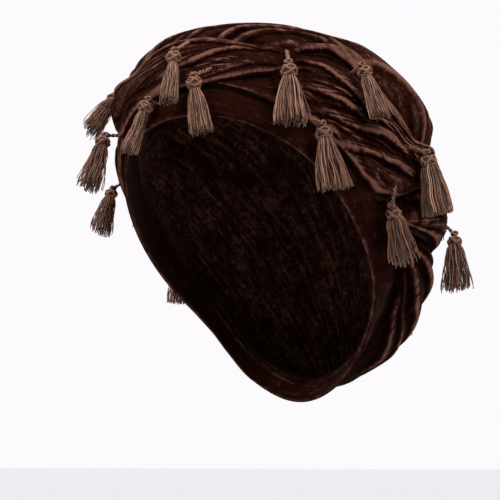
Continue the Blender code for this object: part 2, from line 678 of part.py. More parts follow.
def build():
    """Build the whole turban in an emptied scene."""
    for item in list(bpy.data.objects):
        bpy.data.objects.remove(item)
    parts = bpy.data.collections.new("velvet_turban")
    bpy.context.scene.collection.children.link(parts)
    beds, top = cloth_maps()
    made = [("headband", BAND_VELVET) + headband(), ("crown", VELVET) + crown()]
    trees = [sight_tree(points, faces) for name, look, points, faces in made]
    for row in SWATHES:
        points, faces = swathe(row, beds[row[0]])
        points = settled(points, faces, trees, SWATHE_SIGHT_STEP)
        trees.append(sight_tree(points, faces))
        made.append((row[0], VELVET, points, faces))
    for row in TASSELS:
        points, faces = tassel(row, top)
        made.append((row[0], YARN, seated_cord(points, trees), faces))
    items = [mesh_object(name, points, faces, parts, look) for name, look, points, faces in made]
    for item in items:
        outward(item)


build()
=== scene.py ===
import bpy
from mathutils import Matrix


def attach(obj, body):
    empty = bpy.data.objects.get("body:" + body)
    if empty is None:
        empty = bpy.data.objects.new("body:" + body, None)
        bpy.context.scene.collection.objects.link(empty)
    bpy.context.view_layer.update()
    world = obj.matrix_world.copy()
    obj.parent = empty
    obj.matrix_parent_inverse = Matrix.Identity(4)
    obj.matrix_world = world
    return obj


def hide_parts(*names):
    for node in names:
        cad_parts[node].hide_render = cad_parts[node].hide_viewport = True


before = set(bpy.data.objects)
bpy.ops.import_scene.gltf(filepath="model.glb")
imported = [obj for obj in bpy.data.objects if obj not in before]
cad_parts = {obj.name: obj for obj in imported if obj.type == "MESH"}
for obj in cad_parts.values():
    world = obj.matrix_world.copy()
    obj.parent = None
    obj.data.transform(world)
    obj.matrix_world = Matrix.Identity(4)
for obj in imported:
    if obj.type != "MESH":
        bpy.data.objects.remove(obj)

from types import SimpleNamespace

import bpy
import numpy as np
from mathutils import Vector

# Dressing of the velvet turban: finely folded cloth, wrapped knots and loose yarn over the plain solids.
# Lengths are metres and angles are degrees. Every cloth layer is a height over one inner point, the hub:
# a turn goes round the opening from its front over the wearer's left side, and a rise goes from the
# opening's plane to the crown's middle. Surfaces are worked out as whole grids of turn and rise.


def named_rows(columns, rows):
    """Rows of a table, each with its columns named."""
    return [SimpleNamespace(**dict(zip(columns.split(), row))) for row in rows]


# Hollow for the head, and hub, as in the solids
HEAD_HALF_WIDTH = 0.075
HEAD_HALF_LENGTH = 0.095
HEAD_TOP = 0.096
HEAD_BOTTOM = 0.175
HEAD_FULLNESS = 2.0
HUB_FORWARD_SHARE = 0.15
HUB_DROP_SHARE = 0.43
OPENING_TILT = 44
# Search for a form's reach: farthest reach, number of halvings
FARTHEST = 0.5
HALVINGS = 34

# Clearances and cloth
WEAR_EASE = 0.0005
GAP = 0.0004
BAND_WALL = 0.002
HEM_EXTRA = 0.0008
CLOTH_WALL = 0.0018
HEM_ROLL = 0.0017

# Headband
BAND_WIDTH = 0.031
BAND_BACK_SHARE = 0.6
BAND_FLARE = 0.01
BAND_FLARES = ((0, 0), (45, 0.05), (90, 0.9), (125, 1), (160, 0.6), (180, 0.5))
BAND_WAVE = 0.00045
BAND_TURNS = 720
# Base values of the band's painted light on the hem, the face and the inner face
HEM_PAINTED_LIGHT = 0.45
BAND_PAINTED_LIGHT = 0.44
BAND_INNER_PAINTED_LIGHT = 0.5

# Looseness of the crown bag
BAG_SIDE_EASE = 0.036
BAG_FRONT_EASE = 0.023
BAG_BACK_EASE = 0.054
BAG_TOP_EASE = 0.007
BAG_BOTTOM_EASE = -0.009
BAG_FULLNESS = 2.25
BAG_SHIFT_BACK = 0.02
BAG_SHIFT_RIGHT = 0.0065
CROWN_OVERLAP = 0.005
CROWN_FULL_RISE = 13
HEM_TUCK = 0.0016
HEM_FLAT_RISE = 3

# Folds of the bag, which run from a start to an end (turn and rise). They stray by an angle and are gathered
# at a step toward the nape, a share of them is smoothed away at the front, and a roll lies along the wrap
FOLD_HEIGHT = 0.005
FOLD_START = (-50, 12)
FOLD_END = (176, 1)
FOLD_STRAY = 3
GATHER_STEP = 5.6
SMOOTHED_SHARE = 0.85
ROLL_HEIGHT = 0.0034
ROLL_WIDTH = 17
# Each row: angle where a fold begins, height share, place of its ridge as a share across it
FOLDS = (
    (-180, 0.8, 0.5), (-158, 0.9, 0.3), (-138, 0.8, 0.5), (-120, 1, 0.3), (-104, 0.8, 0.6), (-89, 1, 0.3),
    (-75, 0.7, 0.5), (-62, 0.9, 0.3), (-47, 0.7, 0.6), (-32, 0.9, 0.3), (-16, 0.6, 0.5), (-2, 0.8, 0.3),
    (12, 0.7, 0.6), (27, 0.9, 0.3), (40, 0.7, 0.5), (54, 1, 0.3), (67, 0.8, 0.6), (80, 1, 0.3),
    (93, 0.9, 0.5), (106, 1, 0.3), (120, 0.8, 0.6), (134, 1, 0.3), (148, 0.8, 0.5), (163, 0.9, 0.3),
    (180, 0.8, 0.5),
)
# Crests of single folds. Each row: turn and rise where one starts and ends, bow, spread on its lower and
# upper side, height share; all but the height are degrees
CROWN_CRESTS = (
    (-62, 33, 8, 62, 2, 1.4, 2.6, 0.45), (-48, 29, 24, 56, 2, 1, 1.7, 0.42),
    (-38, 28.5, 8, 40, -3.5, 0.9, 1.3, 0.55), (-18, 26, 25, 51, 0, 0.7, 0.9, 0.35),
    (-12, 25, 36, 52.5, 0, 0.8, 1.3, 0.55), (-1, 22, 62, 52, -1, 0.8, 1.4, 0.68),
    (4, 21.5, 64, 48.5, -0.9, 0.8, 1.3, 0.6), (10, 21, 60, 45.5, -1.8, 0.7, 1, 0.35),
    (-40, 44, 60, 62, -1, 1.2, 2.4, 0.4), (-80, 46, 10, 70, 0, 1.6, 3.2, 0.4),
    (16, 36, 56, 44.5, -0.6, 0.6, 0.9, 0.9), (26, 45, 98, 46.5, 1, 0.8, 1.4, 0.6),
    (34, 48, 108, 49, 1.5, 1, 1.8, 0.55), (42, 42.5, 104, 44.5, 0.5, 0.7, 1, 0.65),
    (30, 52, 114, 53, 2, 1.3, 2.4, 0.45), (22, 57, 118, 58, 2, 1.5, 3, 0.35),
    (50, 44, 96, 46, 0.8, 0.5, 0.7, 0.35), (116, 24, 176, 7.5, 0.8, 1, 1.5, 1),
    (121, 24.3, 176, 11.5, 0.6, 0.8, 1.1, 0.8), (114, 25.8, 177, 15, 1.2, 1.1, 1.6, 1.1),
    (119, 26.3, 174, 18.5, 1, 0.8, 1.2, 0.8), (113, 27.3, 176, 22, 1.5, 1.1, 1.6, 1.15),
    (118, 28.2, 170, 26, 1, 0.9, 1.3, 0.85), (114, 29.2, 172, 30.5, 1.2, 1.2, 1.8, 1.1),
    (117, 31, 164, 34.5, 1, 1, 1.5, 0.8), (114, 32.5, 168, 39, 1.2, 1.4, 2.2, 1),
    (118, 36, 164, 46, 1, 1.5, 2.4, 0.8),
)
# Dent low on the left side: turn, rise, half width, half height, depth
CROWN_DENT = (117, 26.5, 8, 3.2, 0.005)
# Painted light of the bag's folds: painted highlight where the face stands over its average, painted shade
# where it lies under it. Each row: how often the face is averaged, height over that average for the full
# painted highlight
CROWN_RELIEF_SHADING = ((2, 0.0006), (12, 0.0045))
# Base values of the bag's painted light on the outer and the inner face
CROWN_PAINTED_LIGHT = 0.34
CROWN_INNER_PAINTED_LIGHT = 0.62
CROWN_TURNS = 560
CROWN_RINGS = 144
INNER_STEP = 6

# Rim of the face opening. Each row: turn on either side, rise
RIM = ((0, 0), (52, 4.7), (82, 7), (105, 8.5), (130, 9.5), (142, 8), (152, 4), (162, -0.5), (180, -4))

# Bed of the wrap: how softly its edges start, and how far the swathes bridge the cloth below
BED_EDGE = 9
BED_SPREAD = 2
# Each row: turn, rises of its lower and upper edge, share of looseness left below
WRAP_BED = (
    (-180, 40, 62, 0.88), (-145, 38, 60, 0.88), (-120, 33, 55, 0.8), (-100, 26, 48, 0.55), (-88, 22, 43, 0.3),
    (-75, 18, 40, 0.15), (-60, 14.5, 32, 0.12), (-45, 12, 27.5, 0.12), (-30, 10, 25, 0.12),
    (-10, 7.5, 23.5, 0.12), (0, 7.5, 22.5, 0.12), (10, 8.5, 21.5, 0.12), (22, 9, 23, 0.12),
    (29, 9.5, 29, 0.15), (36, 11, 35.5, 0.18), (45, 13, 39, 0.22), (60, 15.5, 39.5, 0.24),
    (75, 17.5, 41, 0.28), (88, 21, 44, 0.36), (100, 25.5, 49, 0.58), (120, 33, 55, 0.76), (145, 38, 60, 0.88),
    (180, 40, 62, 0.88),
)

# Maps of the cloth's reach: lowest rise, steps of the plain and the fine one
MAP_LOW = -24
PLAIN_STEP = 1.0
FINE_STEP = 0.5

# Wrap
SWATHE_THICKNESS = 0.0105
PLEAT_HEIGHT = 0.0028
FINE_PLEAT_HEIGHT = 0.0034
SWATHE_EDGE = 0.001
PLEAT_STRAY = 0.018
NOSE = 0.07
# Outlines. Each row: share along, shares of the bed at the lower and upper edge, thickness share
FRONT_OUTLINE = (
    (0, 0.12, 0.8, 0.6), (0.06, 0.02, 0.97, 0.95), (0.3, 0, 1, 1), (0.55, 0, 1, 0.9), (0.75, 0.06, 1, 0.8),
    (0.9, 0.36, 0.98, 0.65), (1, 0.56, 0.88, 0.35),
)
SIDE_OUTLINE = (
    (0, 0, 0.14, 0.12), (0.14, 0, 0.86, 0.25), (0.24, 0, 1.12, 0.6), (0.45, 0, 1.04, 0.95), (0.7, 0, 1, 1),
    (0.9, 0.06, 0.94, 1.1), (1, 0.3, 0.66, 0.7),
)
BACK_OUTLINE = (
    (0, 0.25, 0.6, 0.15), (0.16, 0.04, 0.9, 0.45), (0.4, 0, 1, 0.95), (0.6, 0, 1, 0.95), (0.84, 0.1, 1, 0.5),
    (1, 0.6, 0.95, 0.2),
)
# Plain pleats of the solids. Each row: share across, height share, half width
PLEATS = (
    (0.06, 0.8, 0.08), (0.22, 1, 0.1), (0.4, 0.9, 0.1), (0.57, 1, 0.09), (0.74, 0.8, 0.09), (0.92, 1, 0.08),
)
# Crests of the pleats. Each row: start and end as shares along, height share, spread below and above the
# crest, then its places at even steps; spreads and places are shares of the bed
FRONT_CRESTS = (
    (0, 1, 1.3, 0.08, 0.07, 0.7, 0.9, 0.93, 0.93, 0.92, 0.9, 0.8),
    (0.44, 0.9, 0.7, 0.05, 0.09, 0.12, 0.22, 0.38, 0.6, 0.8, 0.86),
    (0.4, 0.62, 0.3, 0.03, 0.07, 0.52, 0.6, 0.72),
    (0, 0.62, 0.8, 0.16, 0.24, 0.34, 0.34, 0.32, 0.24, 0.14),
    (0.6, 0.84, 0.32, 0.03, 0.05, 0.13, 0.25, 0.4),
    (0.58, 0.8, 0.22, 0.02, 0.05, 0.2, 0.34, 0.52),
    (0.52, 0.74, 0.22, 0.02, 0.05, 0.1, 0.12, 0.2),
    (0.1, 0.4, 0.22, 0.05, 0.1, 0.2, 0.12, 0.08),
    (0.24, 0.56, 0.24, 0.04, 0.1, 0.54, 0.5, 0.44, 0.34),
    (0.36, 1, 0.5, 0.04, 0.1, 0.05, 0.05, 0.08, 0.18, 0.42, 0.6),
    (0.62, 0.98, 0.34, 0.03, 0.06, 0.1, 0.24, 0.46, 0.66),
    (0.12, 0.46, 0.25, 0.05, 0.11, 0.62, 0.66, 0.72),
    (0.2, 0.6, 0.28, 0.03, 0.05, 0.8, 0.84, 0.8),
)
SIDE_CRESTS = (
    (0.02, 1, 1.2, 0.07, 0.06, 0.1, 0.96, 1.02, 0.98, 0.96, 0.9, 0.6),
    (0.18, 0.62, 0.6, 0.04, 0.1, 0.84, 0.72, 0.6, 0.55, 0.52),
    (0.16, 0.34, 0.3, 0.03, 0.06, 0.62, 0.62, 0.56),
    (0.2, 0.62, 0.45, 0.03, 0.07, 0.29, 0.33, 0.38, 0.42),
    (0.26, 0.56, 0.25, 0.02, 0.04, 0.42, 0.46, 0.47),
    (0.2, 0.4, 0.38, 0.02, 0.05, 0.28, 0.25, 0.19),
    (0.3, 0.86, 0.66, 0.04, 0.08, 0.07, 0.13, 0.24, 0.41, 0.53, 0.38),
    (0.34, 0.8, 0.4, 0.02, 0.04, 0.05, 0.09, 0.18, 0.31, 0.4),
    (0.34, 0.66, 0.44, 0.02, 0.04, 0.04, 0.09, 0.15, 0.21),
    (0.47, 0.94, 0.78, 0.04, 0.09, 0.02, 0.06, 0.18, 0.3, 0.29, 0.27),
    (0.56, 0.9, 0.26, 0.02, 0.04, 0.14, 0.26, 0.38, 0.34),
    (0.54, 0.88, 0.26, 0.02, 0.04, 0.5, 0.6, 0.62, 0.5),
    (0.6, 0.94, 0.3, 0.02, 0.05, 0.58, 0.68, 0.68, 0.5),
    (0.64, 1, 0.34, 0.03, 0.06, 0.72, 0.8, 0.72, 0.56),
    (0.68, 1, 0.8, 0.1, 0.12, 0.03, 0.12, 0.16, 0.38),
    (0, 0.4, 0.34, 0.02, 0.05, 0.04, 0.14, 0.24, 0.14),
    (0.04, 0.6, 0.45, 0.02, 0.05, 0.03, 0.03, 0.03, 0.03),
)
BACK_CRESTS = (
    (0, 1, 1, 0.12, 0.08, 0.55, 0.84, 0.93, 0.94, 0.95, 0.9),
    (0.06, 0.94, 0.8, 0.08, 0.12, 0.44, 0.58, 0.66, 0.74, 0.82),
    (0.1, 0.66, 0.5, 0.05, 0.08, 0.36, 0.4, 0.5, 0.58),
    (0.2, 0.96, 0.85, 0.08, 0.12, 0.3, 0.34, 0.46, 0.6, 0.74),
    (0.05, 0.6, 0.45, 0.05, 0.07, 0.3, 0.24, 0.28, 0.36),
    (0.3, 0.98, 0.6, 0.06, 0.09, 0.18, 0.2, 0.32, 0.5, 0.66),
    (0.02, 0.8, 0.8, 0.07, 0.1, 0.26, 0.1, 0.08, 0.14, 0.3),
    (0.5, 1, 0.5, 0.04, 0.07, 0.03, 0.06, 0.22, 0.6),
)
# Points along and across a swathe, and on its plain underside
MAIN_GRID = (340, 112)
BACK_GRID = (240, 84)
UNDERSIDE = 9
# Swathes from the bottom layer up. Start and end are turns, thickness is a share, the value after the crests
# is the base tone of the pile's painted light, set low on the back left swathe as painted shade, and the
# lower edge has a painted highlight between the two lit shares along
SWATHES = named_rows("name start end outline thickness crests wear lit_from lit_to grid", (
    ("wrap_swathe_back", 134, 216, BACK_OUTLINE, 0.85, BACK_CRESTS, 0.4, 0.1, 0.9, BACK_GRID),
    ("wrap_swathe_back_left", 74, 150, BACK_OUTLINE, 1.15, BACK_CRESTS, 0.22, 0.6, 1, BACK_GRID),
    ("wrap_swathe_back_right", -160, -86, BACK_OUTLINE, 0.9, BACK_CRESTS, 0.42, 0.1, 0.9, BACK_GRID),
    ("wrap_swathe_left", 8, 92, SIDE_OUTLINE, 1, SIDE_CRESTS, 0.38, -0.3, 0.5, MAIN_GRID),
    ("wrap_swathe_right", -104, -30, BACK_OUTLINE, 1, BACK_CRESTS, 0.4, 0.1, 0.9, BACK_GRID),
    ("wrap_swathe_front", -42, 27, FRONT_OUTLINE, 1, FRONT_CRESTS, 0.4, 0.1, 1.3, MAIN_GRID),
))

# Tassels
TASSEL_KNOT_RADIUS = 0.004
TASSEL_KNOT_LENGTH = 0.008
TASSEL_SKIRT_LENGTH = 0.027
TASSEL_SKIRT_HALF_WIDTH = 0.0098
TASSEL_FLATNESS = 0.62
TASSEL_FREE_HANG = 0.9
# Sections of the plain knot and skirt. Each row: place as a share of the length, half width as a share
KNOT_SECTIONS = ((-0.5, 0.55), (-0.2, 0.95), (0.2, 1), (0.5, 0.68))
SKIRT_SECTIONS = ((0.12, 0.5), (0.55, 0.84), (0.94, 1), (1, 0.9))
# Skirt of loose yarns. Each row: share of the way down, half width as a share
SKIRT_WIDTHS = ((0, 0.27), (0.12, 0.46), (0.3, 0.66), (0.6, 0.86), (0.9, 0.97), (1, 0.98))
CORE_WIDTHS = (0.25, 0.55, 0.78, 0.86, 0.88, 0.84, 0.74, 0.62, 0.5)
# Woven knots. Each row: place above the knot's middle and half height as shares of its length, radius share,
# rounds, swings, yarn share, shade
WOVEN_KNOTS = ((0, 0.33, 1, 3, 4, 1, 0.45), (0.66, 0.15, 0.48, 2, 3, 0.85, 0.38))
# tassel_01 to tassel_18 in order. Turn and rise are the knot's, the cord's run from there to its end, lean is
# sideways, size and spread of the skirt are shares
TASSELS = named_rows("turn rise cord_turn cord_rise lean size spread", (
    (-56.5, 35, 5, -2, 36, 0.9, 1.2), (-50, 15.7, 2, 5, 18, 1, 1.3), (-71.5, 16.2, 2, 5, 20, 0.85, 1.25),
    (-14.5, 3.2, 1, 4, -10, 0.95, 0.78), (-3.5, 10.2, -1, 11, 4, 0.95, 0.7), (3, 5, 3, 6, 14, 1, 0.75),
    (27, 13.3, -3, 8, -2, 1.05, 1), (43, 8, -5, 4, 9, 1.08, 1.08), (45.5, 29, -2, 5, 4, 0.95, 1),
    (88, 17, -8, 4, 34, 1, 1.5), (79.5, 25.5, -4, 6, 8, 1.05, 1.5), (126.5, 36.5, -1, 5, -6, 1, 1.45),
    (138, 56, 0, 5, 10, 1, 1), (160, 38, 0, 5, 0, 1, 1), (-164, 38, 0, 5, 0, 1, 1), (-132, 53, 0, 5, 0, 1, 1),
    (-124, 34, 0, 5, 0, 1, 1), (-98, 42, 0, 5, 0, 1, 1),
))
SETTLE_ROUNDS = 16
STRANDS = 104
STRAND_POINTS = 11
STRAND_RADIUS = 0.00029
STRAND_WAVE = 0.00042
PLY_RADIUS = 0.00062
WRAP_RADIUS = 0.0008
ROUND_POINTS = 46
KNOT_UNEVENNESS = 0.00042
CORD_POINTS = 40
CORD_PITCH = 0.0052
CORD_SINK = 0.0006
CORD_SHADES = (0.25, 0.45)
# Painted shade: the yarn core, seen between the wraps of the knots, is darker than the wraps
CORE_SHADE = 0.15
GOLDEN_ANGLE = 2.39996
FIRST_SEED = 99

# Weights of the pile's unevenness, and plies of a loose yarn to the metre and round it
PATCHES = 1.3
STREAKS = 1.8
FLECKS = 1.6
GRAIN = 0.16
PLIES_A_METRE = 700
PLIES_ROUND = 2
# Colours of the pile or yarn: a deep one for painted shade in creases and hollows, a middle tone, and a pale
# one for painted highlights and the palest strands
BAG_COLOURS = ((0.001, 0.0002, 0.0001, 1), (0.007, 0.0018, 0.0012, 1), (0.067, 0.0295, 0.0212, 1))
BAND_COLOURS = ((0.0014, 0.0003, 0.0002, 1), (0.006, 0.0015, 0.001, 1), (0.044, 0.018, 0.0126, 1))
YARN_COLOURS = ((0.005, 0.0014, 0.0008, 1), (0.072, 0.031, 0.0172, 1), (0.236, 0.123, 0.077, 1))

# Camera: its angles and distance, size of a picture point at the hollow's middle, and how many of them to the
# right and up of the frame's middle it shows
VIEW_TURN = 26
VIEW_RISE = -8
VIEW_DISTANCE = 1.2
PICTURE_POINT = 0.000625
PICTURE_WIDTH = 500
SENSOR_WIDTH = 36
AIM = (6, 60)
# Each light: name, place, side, power, colour
LIGHTS = (
    ("key_light", (-0.7, -1.2, 1.1), 0.7, 9.6, (1, 0.98, 0.96)),
    ("side_light", (1.3, -0.7, 1.1), 0.8, 10, (1, 0.99, 0.98)),
    ("top_light", (0, -0.2, 1.6), 0.9, 5, (1, 1, 1)),
)
LIGHT_SPREAD = 70
FLOOR_HALF = 40
FLOOR_LEVEL = -0.4

TILT = np.radians(OPENING_TILT)
HUB = np.array([0, -HUB_FORWARD_SHARE * HEAD_HALF_LENGTH, -HUB_DROP_SHARE * HEAD_TOP])
FRONT_AXIS = np.array([0, -np.cos(TILT), np.sin(TILT)])
LEFT_AXIS = np.array([1.0, 0.0, 0.0])
CROWN_AXIS = np.array([0, np.sin(TILT), np.cos(TILT)])
STRAND_DEPTHS = np.sqrt((np.arange(STRANDS) + 0.5) / STRANDS)


def table(rows, column, at):
    """Smooth curve through one column of a table, read at the given first-column values: a cubic in each
    step, whose tangents are the harmonic means of the slopes on both sides, so that it never overshoots."""
    x = np.array([row[0] for row in rows])
    y = np.array([row[column] for row in rows])
    step = np.diff(x)
    slope = np.diff(y) / step
    inner = np.where(slope[:-1] * slope[1:] > 0,
                     2 * slope[:-1] * slope[1:] / (slope[:-1] + slope[1:] + 1e-12), 0)
    tangent = np.concatenate([[0], inner, [0]])
    at = np.clip(at, x[0], x[-1])
    i = np.clip(np.searchsorted(x, at, side="right") - 1, 0, len(step) - 1)
    t = (at - x[i]) / step[i]
    return (y[i] * (1 + 2 * t) * (1 - t) ** 2 + tangent[i] * step[i] * t * (1 - t) ** 2
            + y[i + 1] * t * t * (3 - 2 * t) + tangent[i + 1] * step[i] * t * t * (t - 1))


def ease(value):
    """Smooth step from 0 to 1: three times the square less twice the cube."""
    value = np.clip(value, 0, 1)
    return value * value * (3 - 2 * value)


def window(value, start, rising, end, falling):
    """1 between two values, with soft ends: a smooth step up from the start times one down to the end."""
    return ease((value - start) / rising) * ease((end - value) / falling)


def bell(value, width):
    """Bell curve: e to the power of minus the square of the value as a share of the width."""
    return np.exp(-(value / width) ** 2)


def unit(vectors):
    """Vectors over their own length."""
    return vectors / np.linalg.norm(vectors, axis=-1, keepdims=True)


def stacked(*parts):
    """Vectors whose coordinates are the given grids."""
    return np.stack(np.broadcast_arrays(*parts), -1)


def wrapped(turn):
    """Turn brought to the span from -180 to 180."""
    return (np.asarray(turn, float) + 180) % 360 - 180


def direction(turn, rise):
    """Unit vectors from the hub: the cosine of the rise round the opening and its sine toward the crown."""
    turn, rise = np.broadcast_arrays(np.radians(turn), np.radians(rise))
    flat = np.cos(rise)
    return ((flat * np.cos(turn))[..., None] * FRONT_AXIS + (flat * np.sin(turn))[..., None] * LEFT_AXIS
            + np.sin(rise)[..., None] * CROWN_AXIS)


def angles(points):
    """Turn, rise and reach of points, seen from the hub."""
    arm = points - HUB
    reach = np.linalg.norm(arm, axis=-1)
    turn = np.degrees(np.arctan2(arm @ LEFT_AXIS, arm @ FRONT_AXIS))
    rise = np.degrees(np.arcsin(np.clip(arm @ CROWN_AXIS / reach, -1, 1)))
    return turn, rise, reach


def placed(turn, rise, reach):
    """Points at the hub plus the direction times the reach."""
    return HUB + direction(turn, rise) * np.asarray(reach)[..., None]


def form_reach(way, half_width, front, back, top, bottom, shift_right, shift_back, fullness):
    """Distance from the hub to a rounded form along unit vectors, found by halving an interval many times.
    Inside it, the shares of its half sizes, each to the power of its fullness, add up to less than 1."""
    low = np.zeros(way.shape[:-1])
    high = np.full(way.shape[:-1], FARTHEST)
    for _ in range(HALVINGS):
        middle = 0.5 * (low + high)
        point = HUB + way * middle[..., None]
        across = np.abs(point[..., 0] + shift_right) / half_width
        along = point[..., 1] - shift_back
        along = np.where(along < 0, -along / (front + shift_back), along / (back - shift_back))
        height = np.where(point[..., 2] > 0, point[..., 2] / top, -point[..., 2] / bottom)
        inside = (across ** 2 + along ** 2) ** (fullness / 2) + height ** fullness < 1
        low = np.where(inside, middle, low)
        high = np.where(inside, high, middle)
    return 0.5 * (low + high)


def head_reach(turn, rise):
    """Reach of the head hollow, a rounded form."""
    return form_reach(direction(turn, rise), HEAD_HALF_WIDTH, HEAD_HALF_LENGTH, HEAD_HALF_LENGTH,
                      HEAD_TOP, HEAD_BOTTOM, 0, 0, HEAD_FULLNESS)


def rim_rise(turn):
    """Rise of the face opening's rim, the same on both sides."""
    return table(RIM, 1, np.abs(wrapped(turn)))


def angle_of(length, turn):
    """Angle that a length along the head takes up near the rim: the length over the reach."""
    return np.degrees(length / head_reach(turn, rim_rise(turn)))


def band_top(turn):
    """Rise of the headband's upper edge: the rim's plus the band's width, which narrows toward the nape."""
    narrow = ease((np.abs(wrapped(turn)) - 80) / 80)
    return rim_rise(turn) + angle_of(BAND_WIDTH * (1 + (BAND_BACK_SHARE - 1) * narrow), turn)


def band_reach(turn, rise):
    """Reach of the headband's inner face: the head's plus its ease, and a flare that grows up the band."""
    share = ease((rise - rim_rise(turn)) / (band_top(turn) - rim_rise(turn)))
    flare = BAND_FLARE * table(BAND_FLARES, 1, np.abs(wrapped(turn)))
    return head_reach(turn, rise) + WEAR_EASE + flare * share


def crown_edge(turn):
    """Rise of the crown's lower edge, which lies over the headband's upper edge."""
    return band_top(turn) - angle_of(CROWN_OVERLAP, turn)


def bed_edges(turn):
    """Rises of the lower and upper edge of the wrap's bed."""
    turn = wrapped(turn)
    return table(WRAP_BED, 1, turn), table(WRAP_BED, 2, turn)


def ripple(points, size, seed):
    """Smooth uneven value from about -1 to 1: the sum of eight sine waves in seeded directions, over 3.2."""
    chance = np.random.default_rng(seed)
    ways = unit(chance.normal(size=(8, points.shape[-1]))) * chance.uniform(0.6, 1.6, (8, 1))
    total = 0
    for way, start in zip(ways, chance.uniform(0, 2 * np.pi, 8)):
        total = total + np.sin(points @ way * (2 * np.pi / size) + start)
    return total / 3.2


def ridge(share, place):
    """Rounded ridge over a sharp crease: rises to 1 at its place and falls back, with a flat top."""
    near = np.clip(np.where(share < place, share / place, (1 - share) / (1 - place)), 0, 1)
    return (near * (2 - near)) ** 0.75


def fold_angles(way):
    """Angle round the folds' chord, which joins their two poles, and distances from both poles."""
    start = direction(*FOLD_START)
    end = direction(*FOLD_END)
    chord = unit(end - start)
    over = unit(CROWN_AXIS - chord * (CROWN_AXIS @ chord))
    arm = way - start
    angle = np.degrees(np.arctan2(arm @ np.cross(chord, over), arm @ over))
    return angle, np.linalg.norm(arm, axis=-1), np.linalg.norm(way - end, axis=-1)


def fold_at(angle):
    """Height share, ridge place and share across of the fold at an angle round the chord."""
    begins, height, place = np.array(FOLDS).T
    i = np.clip(np.searchsorted(begins, angle, side="right") - 1, 0, len(begins) - 2)
    return height[i], place[i], np.clip((angle - begins[i]) / (begins[i + 1] - begins[i]), 0, 1)


def fold_relief(way):
    """Plain folds of the bag: arches between creases that run through both poles, lower far from the end."""
    angle, from_start, from_end = fold_angles(way)
    height, _, t = fold_at(angle)
    near_end = np.clip(1 - from_end / 1.7, 0, 1)
    fade = ease(from_end / 0.35) * ease(from_start / 0.5)
    return FOLD_HEIGHT * height * (4 * t * (1 - t)) ** 0.7 * (0.45 + 0.55 * near_end) * fade


def crest(offset, below, above):
    """Crest of a fold: a quarter ellipse below it, which ends in a crease, and a long bell curve above."""
    low = np.clip(1 - (np.minimum(offset, 0) / below) ** 2, 0, 1) ** 0.7
    return low * bell(np.maximum(offset, 0), above)


def crown_crests(way):
    """Highest of the crown's single folds: each runs along a bowed arc between two directions."""
    relief = np.zeros(way.shape[:-1])
    for turn, rise, end_turn, end_rise, bow, below, above, height in CROWN_CRESTS:
        start = direction(turn, rise)
        arm = direction(end_turn, end_rise) - start
        along = (way - start) @ arm / (arm @ arm)
        offset = np.degrees(way @ unit(np.cross(start, arm))) - 4 * bow * along * (1 - along)
        ends = window(along, 0, 0.13, 1, 0.34)
        relief = np.maximum(relief, height * ends * crest(offset, below, above))
    return relief


def crown_folds(turn, rise):
    """Fine folds of the bag: wide ones through both poles, narrow gathers toward the nape, a smooth roll
    along the wrap over the left side, single folds, and a slight unevenness drawn out along the folds."""
    way = direction(turn, rise)
    turn = wrapped(turn)
    angle, from_start, from_end = fold_angles(way)
    bent = np.clip(angle + FOLD_STRAY * ripple(way, 0.9, 5) * ease(from_start / 0.6), -179.9, 179.9)
    height, place, t = fold_at(bent)
    roll_side = window(turn, 30, 16, 122, 20)
    roll = ridge(np.clip((rise - bed_edges(turn)[1] + 1) / ROLL_WIDTH, 0, 1), 0.42) * roll_side
    front = window(turn, -75, 30, 60, 30) * ease((60 - rise) / 16)
    nape = window(turn, 92, 12, 178, 8) * ease((54 - rise) / 12)
    wide = height * ridge(t, place) * (1 + 0.3 * ripple(way, 1.1, 11)) * (1 - 0.7 * roll_side)
    count = (angle - 64) / GATHER_STEP + 0.45 * ripple(way, 0.7, 23)
    narrow = ridge(count % 1, 0.4) * (0.65 + 0.35 * np.sin(2.4 * np.floor(count)))
    gather = np.clip(0.85 * ease((1.1 - from_end) / 0.5) + 0.1 + 0.2 * ripple(way, 0.6, 31), 0, 1)
    fade = ease(from_end / 0.16) * ease(from_start / 0.3)
    fade = fade * (1 - SMOOTHED_SHARE * front) * (1 - SMOOTHED_SHARE * nape)
    folds = np.maximum(0.92 * crown_crests(way), (0.74 * wide + 0.5 * gather * narrow) * fade)
    drawn = ripple(stacked(0.4 * bent / 10, from_end * 1.2, from_start * 0.7), 1, 61)
    return FOLD_HEIGHT * (folds + 0.1 * drawn) + ROLL_HEIGHT * roll


